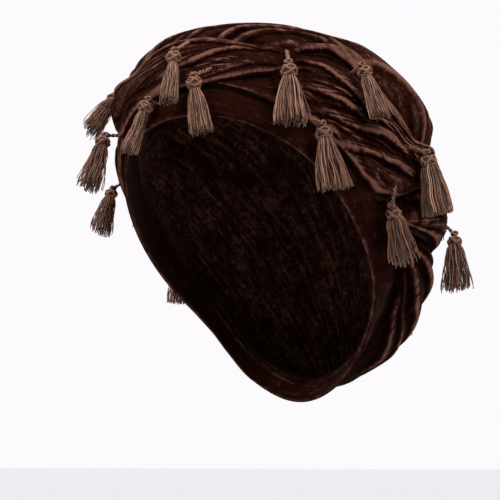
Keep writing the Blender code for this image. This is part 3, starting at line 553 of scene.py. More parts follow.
def crown_reach(turn, rise, fine=True):
    """Reach of the crown's outer face: flat on the band and under the wrap, loose and folded elsewhere."""
    way = direction(turn, rise)
    flat = band_reach(turn, rise) + BAND_WALL + GAP + CLOTH_WALL
    bag = form_reach(way, HEAD_HALF_WIDTH + BAG_SIDE_EASE, HEAD_HALF_LENGTH + BAG_FRONT_EASE,
                     HEAD_HALF_LENGTH + BAG_BACK_EASE, HEAD_TOP + BAG_TOP_EASE,
                     HEAD_BOTTOM + BAG_BOTTOM_EASE, BAG_SHIFT_RIGHT, BAG_SHIFT_BACK, BAG_FULLNESS)
    bag = np.maximum(bag, flat)
    lower, upper = bed_edges(turn)
    bed_share = table(WRAP_BED, 3, wrapped(turn))
    in_bed = window(rise, lower - BED_EDGE, BED_EDGE, upper + BED_EDGE, BED_EDGE)
    from_hem = rise - crown_edge(turn)
    from_edge = ease(from_hem / CROWN_FULL_RISE)
    loose = flat + (bag - flat) * from_edge * (1 - (1 - bed_share) * in_bed)
    if not fine:
        return loose + fold_relief(way) * from_edge * (1 - in_bed)
    below = window(rise, lower - 4, 4, upper + 2.5, 2.5)
    dent_turn, dent_rise, half_width, half_height, depth = CROWN_DENT
    dent = depth * bell(wrapped(turn) - dent_turn, half_width) * bell(rise - dent_rise, half_height)
    folded = loose + (crown_folds(turn, rise) - dent) * ease(from_hem / HEM_FLAT_RISE) * (1 - below)
    return np.maximum(folded, flat) - HEM_TUCK * (1 - ease(from_hem / 4))


def nose(along):
    """Rounding at both ends of a swathe: a quarter ellipse over the nose's share of the length."""
    near = np.clip(np.minimum(along, 1 - along) / NOSE, 0, 1)
    return np.sqrt(near * (2 - near))


def swathe_span(strip, along, turn, fine):
    """Rises of a swathe's lower and upper edge: its outline's shares of the bed, drawn in to a round nose."""
    lower, upper = bed_edges(turn)
    low, high = (lower + (upper - lower) * table(strip.outline, column, along) for column in (1, 2))
    if not fine:
        return low, high
    half = 0.5 * (high - low) * (0.25 + 0.75 * nose(along))
    middle = 0.5 * (high + low)
    return middle - half, middle + half


def pleat_relief(strip, along, across):
    """Pleats of a swathe from 0 to 1: the highest of its crests, each of which swells and dies away along its
    own line, and a slight unevenness drawn out along the cloth."""
    low, high = (table(strip.outline, column, along) for column in (1, 2))
    place = low + (high - low) * across
    seed = len(strip.name)
    place = place + PLEAT_STRAY * ripple(stacked(along * 3, place * 0.8), 1, seed)
    relief = np.zeros(place.shape)
    for k, (start, end, height, below, above, *places) in enumerate(strip.crests):
        marks = [(start + (end - start) * m / (len(places) - 1), share) for m, share in enumerate(places)]
        swell = 1 + 0.12 * np.sin(along * (7 + k) + 2.1 * k)
        line = crest(place - table(marks, 1, along), below, above)
        relief = np.maximum(relief, height * swell * window(along, start, 0.08, end, 0.1) * line)
    climb = place - 0.45 * ease((along - 0.3) / 0.45)
    uneven = 0.08 * ripple(stacked(along * 2.6, climb * 7), 1, 40 + seed)
    uneven = uneven + 0.05 * ripple(stacked(along * 5, climb * 19), 1, 60 + seed)
    return relief + window(along, 0.12, 0.34, 1, 0.25) * uneven


def swathe_lift(strip, along, across, fine):
    """Height of a swathe's outer face over its inner face: a rounded section with pleats."""
    share = table(strip.outline, 3, along)
    full = SWATHE_THICKNESS * strip.thickness * share
    section = np.clip(1 - (2 * across - 1) ** 2, 0, 1) ** (0.5 if fine else 0.6)
    if fine:
        pleat = FINE_PLEAT_HEIGHT * share
        relief = pleat_relief(strip, along, np.clip(across, 0, 1))
        return SWATHE_EDGE * 0.4 + ((full - pleat) * section + pleat * relief * section ** 0.6) * nose(along)
    pleat = PLEAT_HEIGHT * share
    relief = sum(height * bell(across - place, 0.6 * half_width) for place, height, half_width in PLEATS)
    return SWATHE_EDGE + (full - pleat) * section + pleat * relief * section ** 0.5


def read_map(field, turn, rise):
    """Field over turns from -180 and rises from the map's lowest, read between its four nearest points."""
    columns, rows = field.shape
    step = 360 / columns
    column = ((wrapped(turn) + 180) / step) % columns
    row = np.clip((rise - MAP_LOW) / step, 0, rows - 1.001)
    i = np.floor(column).astype(int)
    j = np.floor(row).astype(int)
    s = column - i
    t = row - j
    i = i % columns
    k = (i + 1) % columns
    return ((field[i, j] * (1 - s) + field[k, j] * s) * (1 - t)
            + (field[i, j + 1] * (1 - s) + field[k, j + 1] * s) * t)


def spread(field, times):
    """Field with each point raised to the highest of its neighbours, so many times."""
    for _ in range(times):
        field = np.maximum(field, np.maximum(np.roll(field, 1, 0), np.roll(field, -1, 0)))
        wide = field.copy()
        wide[:, 1:] = np.maximum(wide[:, 1:], field[:, :-1])
        wide[:, :-1] = np.maximum(wide[:, :-1], field[:, 1:])
        field = wide
    return field


def averaged(field, times=1):
    """Field averaged with its neighbours along its second side, so many times; its ends stay."""
    for _ in range(times):
        soft = field.copy()
        soft[:, 1:-1] = (field[:, :-2] + field[:, 1:-1] + field[:, 2:]) / 3
        field = soft
    return field


def softened(field, times):
    """Field averaged with its neighbours, so many times; it is a ring along its first side."""
    for _ in range(times):
        field = averaged((np.roll(field, 1, 0) + field + np.roll(field, -1, 0)) / 3)
    return field


def cloth_maps(step, fine):
    """Reach of the bed below each swathe, and of all cloth together, on a map of the given step. A bed is the
    highest cloth near by, averaged, plus a gap, and each swathe adds its height inside its edges."""
    turn, rise = np.meshgrid(np.arange(-180, 180, step), np.arange(MAP_LOW, 90.5, step), indexing="ij")
    band = band_reach(turn, rise) + BAND_WALL + HEM_EXTRA
    top = np.where(rise > crown_edge(turn) - step, crown_reach(turn, rise, fine), band)
    top = np.maximum(top, band)
    beds = {}
    for strip in SWATHES:
        bed = softened(spread(top, round(BED_SPREAD / step)), round(BED_SPREAD / step ** 2)) + GAP
        beds[strip.name] = bed, top
        along = ((turn - strip.start) % 360) / (strip.end - strip.start)
        low, high = swathe_span(strip, np.clip(along, 0, 1), turn, fine)
        across = (rise - low) / (high - low)
        inside = (along >= 0) & (along <= 1) & (across >= 0) & (across <= 1)
        lift = swathe_lift(strip, np.clip(along, 0, 1), np.clip(across, 0, 1), fine)
        top = np.where(inside, bed + lift, top)
    return beds, top


def ring_faces(loops, size):
    """Four-sided faces between following rings of a grid."""
    i = np.arange(loops - 1)[:, None] * size
    j = np.arange(size)[None, :]
    k = (j + 1) % size
    return np.stack([i + j, i + k, i + size + k, i + size + j], -1).reshape(-1, 4)


def end_faces(loops, size, first_middle, last_middle):
    """Three-sided faces from the first and the last ring of a grid to a middle point each."""
    ring = np.arange(size)
    after = np.roll(ring, -1)
    last = (loops - 1) * size
    return np.concatenate([np.stack([np.full(size, first_middle), after, ring], -1),
                           np.stack([last + ring, last + after, np.full(size, last_middle)], -1)])


def shown(item):
    """Object put into the scene."""
    bpy.context.scene.collection.objects.link(item)
    return item


def cloth_piece(name, points, quads, fans, material, values):
    """Mesh object with faces out, smooth shading, a material and named values on its points. The faces point
    out when the volume that they enclose with the origin is above 0."""
    faces = np.concatenate([quads[:, [0, 1, 2]], quads[:, [0, 2, 3]], fans])
    a, b, c = (points[faces[:, k]] for k in range(3))
    if (a * np.cross(b, c)).sum() < 0:
        quads = quads[:, ::-1]
        fans = fans[:, ::-1]
    mesh = bpy.data.meshes.new(name)
    mesh.from_pydata(points, [], quads.tolist() + fans.tolist())
    mesh.shade_smooth()
    for label, numbers in values.items():
        kind, key = ("FLOAT_VECTOR", "vector") if numbers.ndim > 1 else ("FLOAT", "value")
        mesh.attributes.new(label, kind, "POINT").data.foreach_set(key, numbers.ravel().astype(np.float32))
    mesh.materials.append(material)
    mesh.update()
    return shown(bpy.data.objects.new(name, mesh))


def headband(material):
    """Band round the opening: a ring whose section has a rolled hem, a crease and a soft rippled face. Its
    pile has a painted highlight on the hem, painted light on the ripples, painted shade in the crease and a
    painted shadow under the crown."""
    turn = np.linspace(-180, 180, BAND_TURNS, endpoint=False)[:, None]
    rim = rim_rise(turn)
    top = band_top(turn)
    roll = angle_of(HEM_ROLL, turn)
    bend = np.linspace(-60, 165, 10)[None, :]
    face = np.linspace(0, 1, 20)[None, 1:]
    back = np.linspace(0, 1, 8)[None, :]
    hem_rise = rim + roll * (0.5 - 0.5 * np.cos(np.radians(bend)))
    face_rise = rim + roll + (top - rim - roll) * face
    back_rise = top + (rim + 0.3 * roll - top) * back
    rises = np.concatenate([hem_rise, face_rise, back_rise], 1)
    wave = ripple(stacked(turn / 9 - face * 0.9, face * 0.5), 1, 3)
    wave = wave * (0.25 + 0.75 * ease((np.abs(wrapped(turn)) - 35) / 50))
    hem_depth = 0.5 * BAND_WALL + (0.5 * BAND_WALL + HEM_EXTRA) * np.sin(np.radians(bend))
    face_depth = BAND_WALL * (1 - 0.22 * bell(face, 0.1)) + BAND_WAVE * wave * window(face, 0, 0.3, 1, 0.2)
    depth = np.concatenate([hem_depth + 0 * turn, face_depth, 0 * back_rise], 1)
    points = placed(turn, rises, band_reach(turn, rises) + depth).reshape(-1, 3)
    size = rises.shape[1]
    quads = ring_faces(BAND_TURNS + 1, size) % (BAND_TURNS * size)
    # Painted highlight along the hem's roll; on the face, painted light on the ripples, painted shade in the
    # crease just above the hem and a painted shadow under the crown's edge
    hem_painted_light = HEM_PAINTED_LIGHT + 0.35 * bell(bend + 10, 30)
    face_painted_light = BAND_PAINTED_LIGHT + 0.1 * wave - 0.4 * ease((face - 0.5) / 0.3) - 0.1 * bell(face, 0.06)
    nap = np.concatenate([hem_painted_light + 0 * turn, face_painted_light, BAND_INNER_PAINTED_LIGHT + 0 * back_rise], 1)
    flow = stacked(np.radians(turn) * 0.1, np.radians(rises) * 0.1, 0).reshape(-1, 3)
    return cloth_piece("headband_velvet", points, quads, np.zeros((0, 3), int), material,
                       {"nap": nap.ravel(), "flow": flow})


def crown_painted_light(turn, from_edge, rise, outer):
    """Painted light on the bag's pile: a painted highlight where the face stands over its own average and
    over the left side, a slight painted light on the top and back, and painted shade in the creases, by the
    nape and at the hem."""
    turn = wrapped(turn)
    # Painted highlight where the face stands over its average, painted shade where it lies under it
    wear_and_shading = 0
    for times, depth in CROWN_RELIEF_SHADING:
        wear_and_shading = wear_and_shading + 0.6 * np.clip((outer - softened(outer.T, times).T) / depth, -1, 1)
    # Painted shade by the nape, where the folds also get more painted contrast
    nape_shade = ease((turn - 96) / 14) * ease((50 - rise) / 14)
    # Painted highlight over the left side
    side_highlight = 0.17 * window(turn, 26, 16, 106, 16) * window(rise, 38, 4, 64, 14)
    # Slight painted light on the top and back
    behind = np.maximum(ease((np.abs(turn) - 100) / 30), ease((rise - 64) / 10))
    plain = CROWN_PAINTED_LIGHT + 0.07 * behind * ease((rise - 50) / 14)
    wear_and_shading = (0.85 + 0.4 * nape_shade) * wear_and_shading
    # Painted shade at the hem, where the crown meets the band
    return np.clip(plain + wear_and_shading + side_highlight - 0.45 * bell(from_edge, 2.2) - 0.27 * nape_shade, 0, 1)


def crown(material):
    """Gathered bag: an outer and an inner face one wall apart, joined by a round lip and closed on top."""
    turn = np.linspace(-180, 180, CROWN_TURNS, endpoint=False)[None, :]
    turn = turn - np.degrees(0.35 * np.sin(np.radians(turn - 105)))
    edge = crown_edge(turn)
    climb = np.linspace(0, 1, CROWN_RINGS + 1)[:-1, None]
    outer_rise = edge + (90 - edge) * (0.62 * climb + 0.38 * climb ** 2)
    outer = softened(crown_reach(turn, outer_rise).T, 1).T
    inner = softened(-spread(-outer.T, 4), 6).T[::INNER_STEP]
    bend = np.radians(np.linspace(-60, 60, 5))[:, None]
    half_wall = 0.5 * CLOTH_WALL
    lip_rise = edge - np.degrees(half_wall * np.cos(bend) / outer[:1])
    lip = outer[:1] - half_wall + half_wall * np.sin(bend)
    rises = np.concatenate([outer_rise[::INNER_STEP][::-1], lip_rise, outer_rise])
    reach = np.concatenate([inner[::-1] - CLOTH_WALL, lip, outer])
    top = float(np.mean(outer[-1]))
    points = np.concatenate([placed(turn, rises, reach).reshape(-1, 3),
                             placed(0, 90, [top, top - CLOTH_WALL])])
    quads = ring_faces(len(rises), CROWN_TURNS)
    fans = end_faces(len(rises), CROWN_TURNS, len(points) - 1, len(points) - 2)
    outer_painted_light = crown_painted_light(turn, outer_rise - edge, outer_rise, outer)
    # The lip is painted in the deepest shade, where the crown's edge meets the band
    nap = np.concatenate([CROWN_INNER_PAINTED_LIGHT + 0 * inner, 0 * lip, outer_painted_light])
    angle, from_start, from_end = fold_angles(direction(turn, rises))
    flow = stacked(0.1 * (from_end - from_start), 0.0017 * angle, 0).reshape(-1, 3)
    return cloth_piece("crown_velvet", points, quads, fans, material,
                       {"nap": np.append(nap, [0.5, 0.35]), "flow": np.concatenate([flow, np.zeros((2, 3))])})


def closer_at_ends(count, share):
    """Steps from 0 to 1 that lie closer together at both ends: a share of a half cosine, the rest even."""
    x = np.linspace(0, 1, count)
    return (1 - share) * x + share * (0.5 - 0.5 * np.cos(np.pi * x))


def swathe_painted_light(strip, along, across, lift):
    """Painted light on a swathe's pile: painted highlight and shade from the height over its average near by
    and from that average over one far off, each as a share of a depth, painted highlight lines along its
    lower and upper edge, and painted shade at the very upper edge."""
    near = averaged(lift, 6)
    # Painted highlight on crests and painted shade in creases, over the swathe's base tone
    nap = strip.wear + 0.95 * np.clip((lift - near) / 0.0005, -1, 1)
    nap = nap + 0.55 * np.clip((near - averaged(near, 60)) / 0.003, -1, 1)
    # Painted highlight along the lower edge between the lit shares along, and along the upper edge
    lit = window(along, strip.lit_from, 0.25, strip.lit_to, 0.25)
    nap = nap + 0.26 * lit * bell(across - 0.03, 0.028) + 0.16 * bell(across - 0.925, 0.035)
    # Painted shade at the very upper edge
    return np.clip(nap - 0.1 * np.exp(-(1 - across) / 0.02), 0, 1)


def swathe(strip, bed, under, material):
    """Pleated swathe: flat rings set along it, each with a pleated outer side over a plain underside."""
    long, wide = strip.grid
    along = closer_at_ends(long, 0.3)[:, None]
    across = closer_at_ends(wide, 0.4)[None, :]
    back = np.linspace(1, 0, UNDERSIDE)[None, :]
    turn = strip.start + (strip.end - strip.start) * along
    low, high = swathe_span(strip, along, turn, True)
    lift = swathe_lift(strip, along, across, True)
    rise = low + (high - low) * np.concatenate([across, back], 1)
    reach = read_map(bed, turn, rise)
    reach[:, :wide] += lift
    reach[:, wide:] = np.minimum(reach[:, wide:], read_map(under, turn, rise[:, wide:])) - 0.2 * GAP
    rings = placed(turn, rise, reach)
    points = np.concatenate([rings.reshape(-1, 3), rings[[0, -1]].mean(1)])
    quads = ring_faces(long, wide + UNDERSIDE)
    fans = end_faces(long, wide + UNDERSIDE, len(points) - 2, len(points) - 1)
    # The plain underside is painted in the deepest shade
    nap = np.concatenate([swathe_painted_light(strip, along, across, lift), np.zeros((long, UNDERSIDE))], 1)
    flow = stacked(0.002 * turn, 0.0016 * rise, 0).reshape(-1, 3)
    return cloth_piece(strip.name + "_velvet", points, quads, fans, material,
                       {"nap": np.append(nap, [0, 0]), "flow": np.concatenate([flow, np.zeros((2, 3))])})


def tubes(paths, radius, lift, sides, shade):
    """Round yarns along paths: a ring round each path point in the plane of its side and lift vectors."""
    count, steps = paths.shape[:2]
    along = unit(np.gradient(paths, axis=1))
    lift = unit(lift - along * (lift * along).sum(-1, keepdims=True))
    side = np.cross(along, lift)
    around = np.linspace(0, 2 * np.pi, sides, endpoint=False)
    arm = np.cos(around)[:, None] * side[:, :, None] + np.sin(around)[:, None] * lift[:, :, None]
    rings = paths[:, :, None] + np.broadcast_to(radius, (count, steps))[..., None, None] * arm
    block = steps * sides + 2
    points = np.concatenate([rings.reshape(count, -1, 3), paths[:, :1], paths[:, -1:]], 1)
    starts = np.arange(count)[:, None, None] * block
    quads = ring_faces(steps, sides) + starts
    fans = end_faces(steps, sides, block - 2, block - 1) + starts
    hops = np.linalg.norm(np.diff(paths, axis=1), axis=-1)
    length = np.concatenate([np.zeros((count, 1)), np.cumsum(hops, 1)], 1)
    far = np.concatenate([np.repeat(length, sides, 1), length[:, :1], length[:, -1:]], 1)
    twist = stacked(far, np.append(np.tile(around, steps), [0, 0]) / (2 * np.pi), 0)
    return (points.reshape(-1, 3), quads.reshape(-1, 4), fans.reshape(-1, 3), np.repeat(shade, block),
            twist.reshape(-1, 3))


def tassel_place(lock, top):
    """Knot point, end point, side and outward unit vectors of a tassel that lies down the cloth: it hangs in
    the cloth's plane, leans, and is lifted at either end until each of its sections clears the cloth."""
    size = lock.size
    out = direction(lock.turn, lock.rise)
    hang = unit(np.array([0, 0, -1]) * (1 + TASSEL_FREE_HANG) + out * out[2])
    side = unit(np.cross(out, hang))
    lean = np.radians(lock.lean)
    hang = hang * np.cos(lean) + side * np.sin(lean)
    side = unit(np.cross(hang, out))
    out = np.cross(side, hang)
    knot = placed(lock.turn, lock.rise, read_map(top, lock.turn, lock.rise) + size * TASSEL_KNOT_RADIUS)
    neck = 0.5 * TASSEL_KNOT_LENGTH
    length = size * (neck + TASSEL_SKIRT_LENGTH)
    wide = TASSEL_SKIRT_HALF_WIDTH * lock.spread
    sections = [(TASSEL_KNOT_LENGTH * down, TASSEL_KNOT_RADIUS * half, 1) for down, half in KNOT_SECTIONS]
    sections += [(neck + TASSEL_SKIRT_LENGTH * down, wide * half, TASSEL_FLATNESS)
                 for down, half in SKIRT_SECTIONS]
    around = np.linspace(-1, 1, 9)
    thick = np.sqrt(1 - around ** 2)
    knot_lift = 0
    end_lift = 0
    for _ in range(SETTLE_ROUNDS):
        for down, half, flat in sections:
            share = np.clip(size * down / length, 0, 1)
            middle = knot + hang * size * down + out * (knot_lift * (1 - share) + end_lift * share)
            under = middle + size * half * (np.outer(around, side) - flat * np.outer(thick, out))
            under_turn, under_rise, under_reach = angles(under)
            short = max(np.max(read_map(top, under_turn, under_rise) + GAP - under_reach), 0)
            knot_lift += short * (1 - share)
            end_lift += short * share
    return knot + out * knot_lift, knot + hang * length + out * end_lift, side, out


def pushed_out(points, radius, top):
    """Points moved away from the hub until round yarns there clear the cloth."""
    turn, rise, reach = angles(points)
    need = read_map(top, turn, rise) + radius
    return HUB + (points - HUB) * (np.maximum(reach, need) / reach)[..., None]


def smooth_path(marks, steps):
    """Rounded path through marks: straight runs between them, averaged with their neighbours many times."""
    marks = np.array(marks)
    far = np.concatenate([[0], np.cumsum(np.linalg.norm(np.diff(marks, axis=0), axis=1))])
    at = np.linspace(0, far[-1], steps)
    path = np.stack([np.interp(at, far, marks[:, k]) for k in range(3)], -1)
    for _ in range(steps // 3):
        path[1:-1] = 0.25 * path[:-2] + 0.5 * path[1:-1] + 0.25 * path[2:]
    return path


def twisted_cord(path, out, ply_radius, plies, turns):
    """Twisted cord: plies on a helix round a path, each at the ply radius from its middle."""
    along = unit(np.gradient(path, axis=0))
    side = unit(np.cross(along, out))
    lift = np.cross(side, along)
    angle = (np.linspace(0, 2 * np.pi * turns, len(path))[None, :]
             + np.arange(plies)[:, None] * 2 * np.pi / plies)
    arm = np.cos(angle)[..., None] * side[None] + np.sin(angle)[..., None] * lift[None]
    return path[None] + arm * ply_radius * 1.04, arm


def knot_wrap(middle, hang, side, out, radius, half_height, leads, bights, start):
    """Woven knot: one yarn that goes so many times round while it swings up and down so many times."""
    t = np.linspace(0, 1, ROUND_POINTS * leads)
    around = 2 * np.pi * leads * t + start
    swing = 2 * np.pi * bights * t
    height = half_height * np.sin(swing)
    barrel = radius * (1 - 0.22 * (height / half_height) ** 2) + KNOT_UNEVENNESS * np.cos(2 * swing + 0.7)
    arm = np.cos(around)[:, None] * side + np.sin(around)[:, None] * out
    return (middle + barrel[:, None] * arm + height[:, None] * hang)[None], arm[None]


def strand_wave(t, chance):
    """Wave of each loose yarn, which grows from its start: a sine with its own speed and start."""
    wave = np.sin(t * chance.uniform(5, 11, (STRANDS, 1)) + chance.uniform(0, 6.28, (STRANDS, 1)))
    return STRAND_WAVE * wave * ease(t / 0.3)


def skirt_strands(lock, knot, hang, side, out, chance, top):
    """Loose yarns of a skirt: each runs from the knot to its own place in the flat round end, with a wave."""
    size = lock.size
    t = np.linspace(0, 1, STRAND_POINTS)[None, :]
    around = (np.arange(STRANDS) * GOLDEN_ANGLE)[:, None] + chance.normal(0, 0.1, (STRANDS, 1))
    long = chance.normal(0.995, 0.026, (STRANDS, 1)).clip(0.9, 1.04)
    width = size * TASSEL_SKIRT_HALF_WIDTH * lock.spread * table(SKIRT_WIDTHS, 1, t)
    width = np.maximum(width, size * TASSEL_KNOT_RADIUS * 0.62)
    flat = 0.92 + (TASSEL_FLATNESS - 0.92) * ease(t / 0.35)
    spray = 1 + 0.14 * chance.normal(0, 1, (STRANDS, 1)).clip(-1.7, 1.3) * t ** 1.4
    arm = STRAND_DEPTHS[:, None] * spray
    along = size * (0.24 * TASSEL_KNOT_LENGTH + (0.26 * TASSEL_KNOT_LENGTH + TASSEL_SKIRT_LENGTH) * t * long)
    sideways = arm * width * np.cos(around) + strand_wave(t, chance)
    outward = arm * flat * width * np.sin(around) + strand_wave(t, chance)
    paths = knot + along[..., None] * hang + sideways[..., None] * side + outward[..., None] * out
    return pushed_out(paths, STRAND_RADIUS * size * 1.3, top)


def tassel(name, lock, plain_top, top, material, seed):
    """Tassel: a twisted cord from the cloth, two woven knots over a yarn core and a skirt of loose yarns."""
    size = lock.size
    chance = np.random.default_rng(seed)
    knot, end, side, out = tassel_place(lock, spread(plain_top, 2))
    hang = unit(end - knot)
    out = np.cross(side, hang)
    down = hang * size * TASSEL_KNOT_LENGTH
    cord_turn, cord_rise = lock.turn + lock.cord_turn, lock.rise + lock.cord_rise
    start = placed(cord_turn, cord_rise, read_map(top, cord_turn, cord_rise) - CORD_SINK)
    high = knot - 0.62 * down
    middle = pushed_out(0.5 * (start + high)[None], 2.2 * PLY_RADIUS, top)[0]
    path = smooth_path([start, middle, high, knot - 0.2 * down], CORD_POINTS)
    path[4:] = pushed_out(path[4:], 2 * PLY_RADIUS, top)
    length = np.linalg.norm(np.diff(path, axis=0), axis=1).sum()
    plies, arm = twisted_cord(path, out, size * PLY_RADIUS, 2, length / CORD_PITCH)
    parts = [tubes(plies, size * PLY_RADIUS, arm, 8, CORD_SHADES)]
    radius = size * (TASSEL_KNOT_RADIUS - 0.1 * WRAP_RADIUS)
    for up, half_height, share, leads, bights, yarn_share, shade in WOVEN_KNOTS:
        wrap, arm = knot_wrap(knot - up * down, hang, side, out, share * radius,
                              size * half_height * TASSEL_KNOT_LENGTH, leads, bights, chance.uniform(0, 6))
        parts.append(tubes(wrap, size * yarn_share * WRAP_RADIUS, arm, 8, [shade]))
    core = knot + down * np.linspace(-0.46, 0.5, len(CORE_WIDTHS))[:, None]
    parts.append(tubes(core[None], size * TASSEL_KNOT_RADIUS * np.array(CORE_WIDTHS), out, 20, [CORE_SHADE]))
    strands = skirt_strands(lock, knot, hang, side, out, chance, top)
    # Each strand's shade is a random tone times a painted shade that darkens the strands lying deeper in the
    # skirt
    shades = chance.uniform(0.05, 1.1, STRANDS) * (0.05 + 0.95 * STRAND_DEPTHS ** 2.5)
    parts.append(tubes(strands, size * STRAND_RADIUS, out, 5, shades))
    points, quads, fans, shades, twists = zip(*parts)
    starts = np.cumsum([0] + [len(part) for part in points[:-1]])
    quads, fans = (np.concatenate([part + start for part, start in zip(faces, starts)])
                   for faces in (quads, fans))
    return cloth_piece(name + "_yarn", np.concatenate(points), quads, fans, material,
                       {"shade": np.concatenate(shades), "twist": np.concatenate(twists)})


def fill(node, inputs):
    """Node whose inputs are linked to the given sockets or set to the given values."""
    for key, item in inputs.items():
        if isinstance(item, bpy.types.NodeSocket):
            node.id_data.links.new(item, node.inputs[key])
        else:
            node.inputs[key].default_value = item
    return node


def add(tree, kind, inputs, **settings):
    """Node in a tree with its settings and inputs."""
    node = tree.nodes.new(kind)
    for key, value in settings.items():
        setattr(node, key, value)
    return fill(node, inputs)


def attribute(tree, name, output):
    """Output of a named value on the piece's points."""
    return add(tree, "ShaderNodeAttribute", {}, attribute_name=name).outputs[output]


def value_of(tree, operation, *items):
    """Output of an operation on values or sockets."""
    return add(tree, "ShaderNodeMath", dict(enumerate(items)), operation=operation).outputs[0]


def weighted(tree, start, *rows):
    """Output of a start value plus each row's socket times its weight."""
    for source, weight in rows:
        start = value_of(tree, "MULTIPLY_ADD", source, weight, start)
    return start


def noise_of(tree, vector, scale, detail, roughness, distortion=0):
    """Output of a noise at a scale."""
    return add(tree, "ShaderNodeTexNoise", {"Vector": vector, "Scale": scale, "Detail": detail,
                                            "Roughness": roughness, "Distortion": distortion}).outputs["Fac"]


def mixed(tree, share, low, high):
    """Colour between two colours."""
    return add(tree, "ShaderNodeMix", {0: share, 6: low, 7: high}, data_type="RGBA").outputs[2]


def smooth_share(tree, source, low, high):
    """Share from 0 to 1 between two values, with soft ends."""
    return add(tree, "ShaderNodeMapRange", {"Value": source, "From Min": low, "From Max": high},
               interpolation_type="SMOOTHSTEP").outputs["Result"]


def three_colours(tree, light, colours, middle_full, pale_start, pale_full):
    """Colour that goes from the first to the second and on to the third as a value climbs: a smooth step from
    0 to where the middle is full, and one from where the pale starts to where it is full."""
    low = mixed(tree, smooth_share(tree, light, 0, middle_full), colours[0], colours[1])
    return mixed(tree, smooth_share(tree, light, pale_start, pale_full), low, colours[2])


def bumped(tree, height, strength, distance):
    """Normal bent by a height."""
    return add(tree, "ShaderNodeBump",
               {"Height": height, "Strength": strength, "Distance": distance}).outputs["Normal"]


def object_place(tree):
    """Place on the piece."""
    return add(tree, "ShaderNodeTexCoord", {}).outputs["Object"]


def new_material(name):
    """Material with its node tree and its shader."""
    material = bpy.data.materials.new(name)
    material.use_nodes = True
    return material, material.node_tree, material.node_tree.nodes["Principled BSDF"]


def velvet_pile_group():
    """Crushed pile: colour from the deep painted shade of creases to the pale painted highlight of ridges by
    the piece's painted light value, plus a crushed share of uneven patches, streaks and flecks, each counted
    from its middle, and a fine grain."""
    tree = bpy.data.node_groups.new("crushed velvet pile", "ShaderNodeTree")
    inputs = {"Nap": "Float", "Place": "Vector", "Flow": "Vector", "Crush": "Float", "Deep": "Color",
              "Middle": "Color", "Pale": "Color"}
    outputs = {"Color": "Color", "Roughness": "Float", "Height": "Float"}
    for in_out, sockets in (("INPUT", inputs), ("OUTPUT", outputs)):
        for name, kind in sockets.items():
            tree.interface.new_socket(name, in_out=in_out, socket_type="NodeSocket" + kind)
    given = add(tree, "NodeGroupInput", {}).outputs
    place = given["Place"]
    flow = add(tree, "ShaderNodeMapping", {"Vector": given["Flow"], "Scale": (28, 420, 1)}).outputs["Vector"]
    patches = noise_of(tree, place, 75, 4, 0.72, 0.6)
    streaks = noise_of(tree, flow, 1, 3, 0.6, 0.3)
    grain = noise_of(tree, place, 2400, 2, 0.6)
    flecks = noise_of(tree, place, 320, 3, 0.7, 0.4)
    uneven = weighted(tree, -0.5 * (PATCHES + STREAKS + FLECKS), (patches, PATCHES), (streaks, STREAKS),
                      (flecks, FLECKS))
    # Painted highlight and shade from the piece's value, made uneven by the crushed pile
    light = value_of(tree, "MULTIPLY_ADD", uneven, given["Crush"], given["Nap"])
    light = weighted(tree, value_of(tree, "ADD", light, -0.5 * GRAIN), (grain, GRAIN))
    colours = (given["Deep"], given["Middle"], given["Pale"])
    add(tree, "NodeGroupOutput", {
        "Color": three_colours(tree, light, colours, 0.55, 0.5, 1.15),
        "Roughness": value_of(tree, "MULTIPLY_ADD", patches, -0.25, 0.85),
        "Height": weighted(tree, 0, (patches, 0.5), (streaks, 0.45), (grain, 0.1))})
    return tree


def velvet(name, group, crush, colours, sheen):
    """Velvet: the crushed pile with a soft bright sheen at low angles."""
    material, tree, shader = new_material(name)
    pile = add(tree, "ShaderNodeGroup", {}, node_tree=group)
    # The named value on the points carries the painted highlight and shade
    fill(pile, {"Place": object_place(tree), "Flow": attribute(tree, "flow", "Vector"),
                "Nap": attribute(tree, "nap", "Fac"), "Crush": crush,
                "Deep": colours[0], "Middle": colours[1], "Pale": colours[2]})
    fill(shader, {"Base Color": pile.outputs["Color"], "Roughness": pile.outputs["Roughness"],
                  "Normal": bumped(tree, pile.outputs["Height"], 0.5, 0.0012), "Specular IOR Level": 0,
                  "Sheen Weight": sheen, "Sheen Roughness": 0.28, "Sheen Tint": (0.75, 0.5, 0.42, 1)})
    return material


def silky_yarn():
    """Twisted silky yarn: slanted plies along each strand and a shade of its own for each. A ply's light is a
    sine of its turns along the strand plus those round it."""
    material, tree, shader = new_material("silky_yarn")
    twist = add(tree, "ShaderNodeSeparateXYZ", {0: attribute(tree, "twist", "Vector")}).outputs
    slant = weighted(tree, 0, (twist["Y"], PLIES_ROUND), (twist["X"], PLIES_A_METRE))
    swing = value_of(tree, "SINE", value_of(tree, "MULTIPLY", slant, 2 * np.pi))
    ply = value_of(tree, "MULTIPLY_ADD", swing, 0.5, 0.5)
    place = object_place(tree)
    wear_and_shading = noise_of(tree, place, 120, 2, 0.5)
    light = weighted(tree, -0.2, (attribute(tree, "shade", "Fac"), 0.62), (ply, 0.2), (wear_and_shading, 0.5))
    height = weighted(tree, ply, (noise_of(tree, place, 900, 2, 0.6), 0.5))
    fill(shader, {"Base Color": three_colours(tree, light, YARN_COLOURS, 0.5, 0.45, 1),
                  "Normal": bumped(tree, height, 0.6, 0.0002), "Roughness": 0.42, "Specular IOR Level": 0.12,
                  "Sheen Weight": 0.04, "Sheen Roughness": 0.4, "Sheen Tint": (0.9, 0.75, 0.65, 1)})
    return material


def aimed(item, place, target):
    """Object moved to a place and turned toward a target, with its top up."""
    item.location = place
    item.rotation_mode = "QUATERNION"
    item.rotation_quaternion = Vector(np.array(target) - np.array(place)).to_track_quat("-Z", "Y")
    return shown(item)


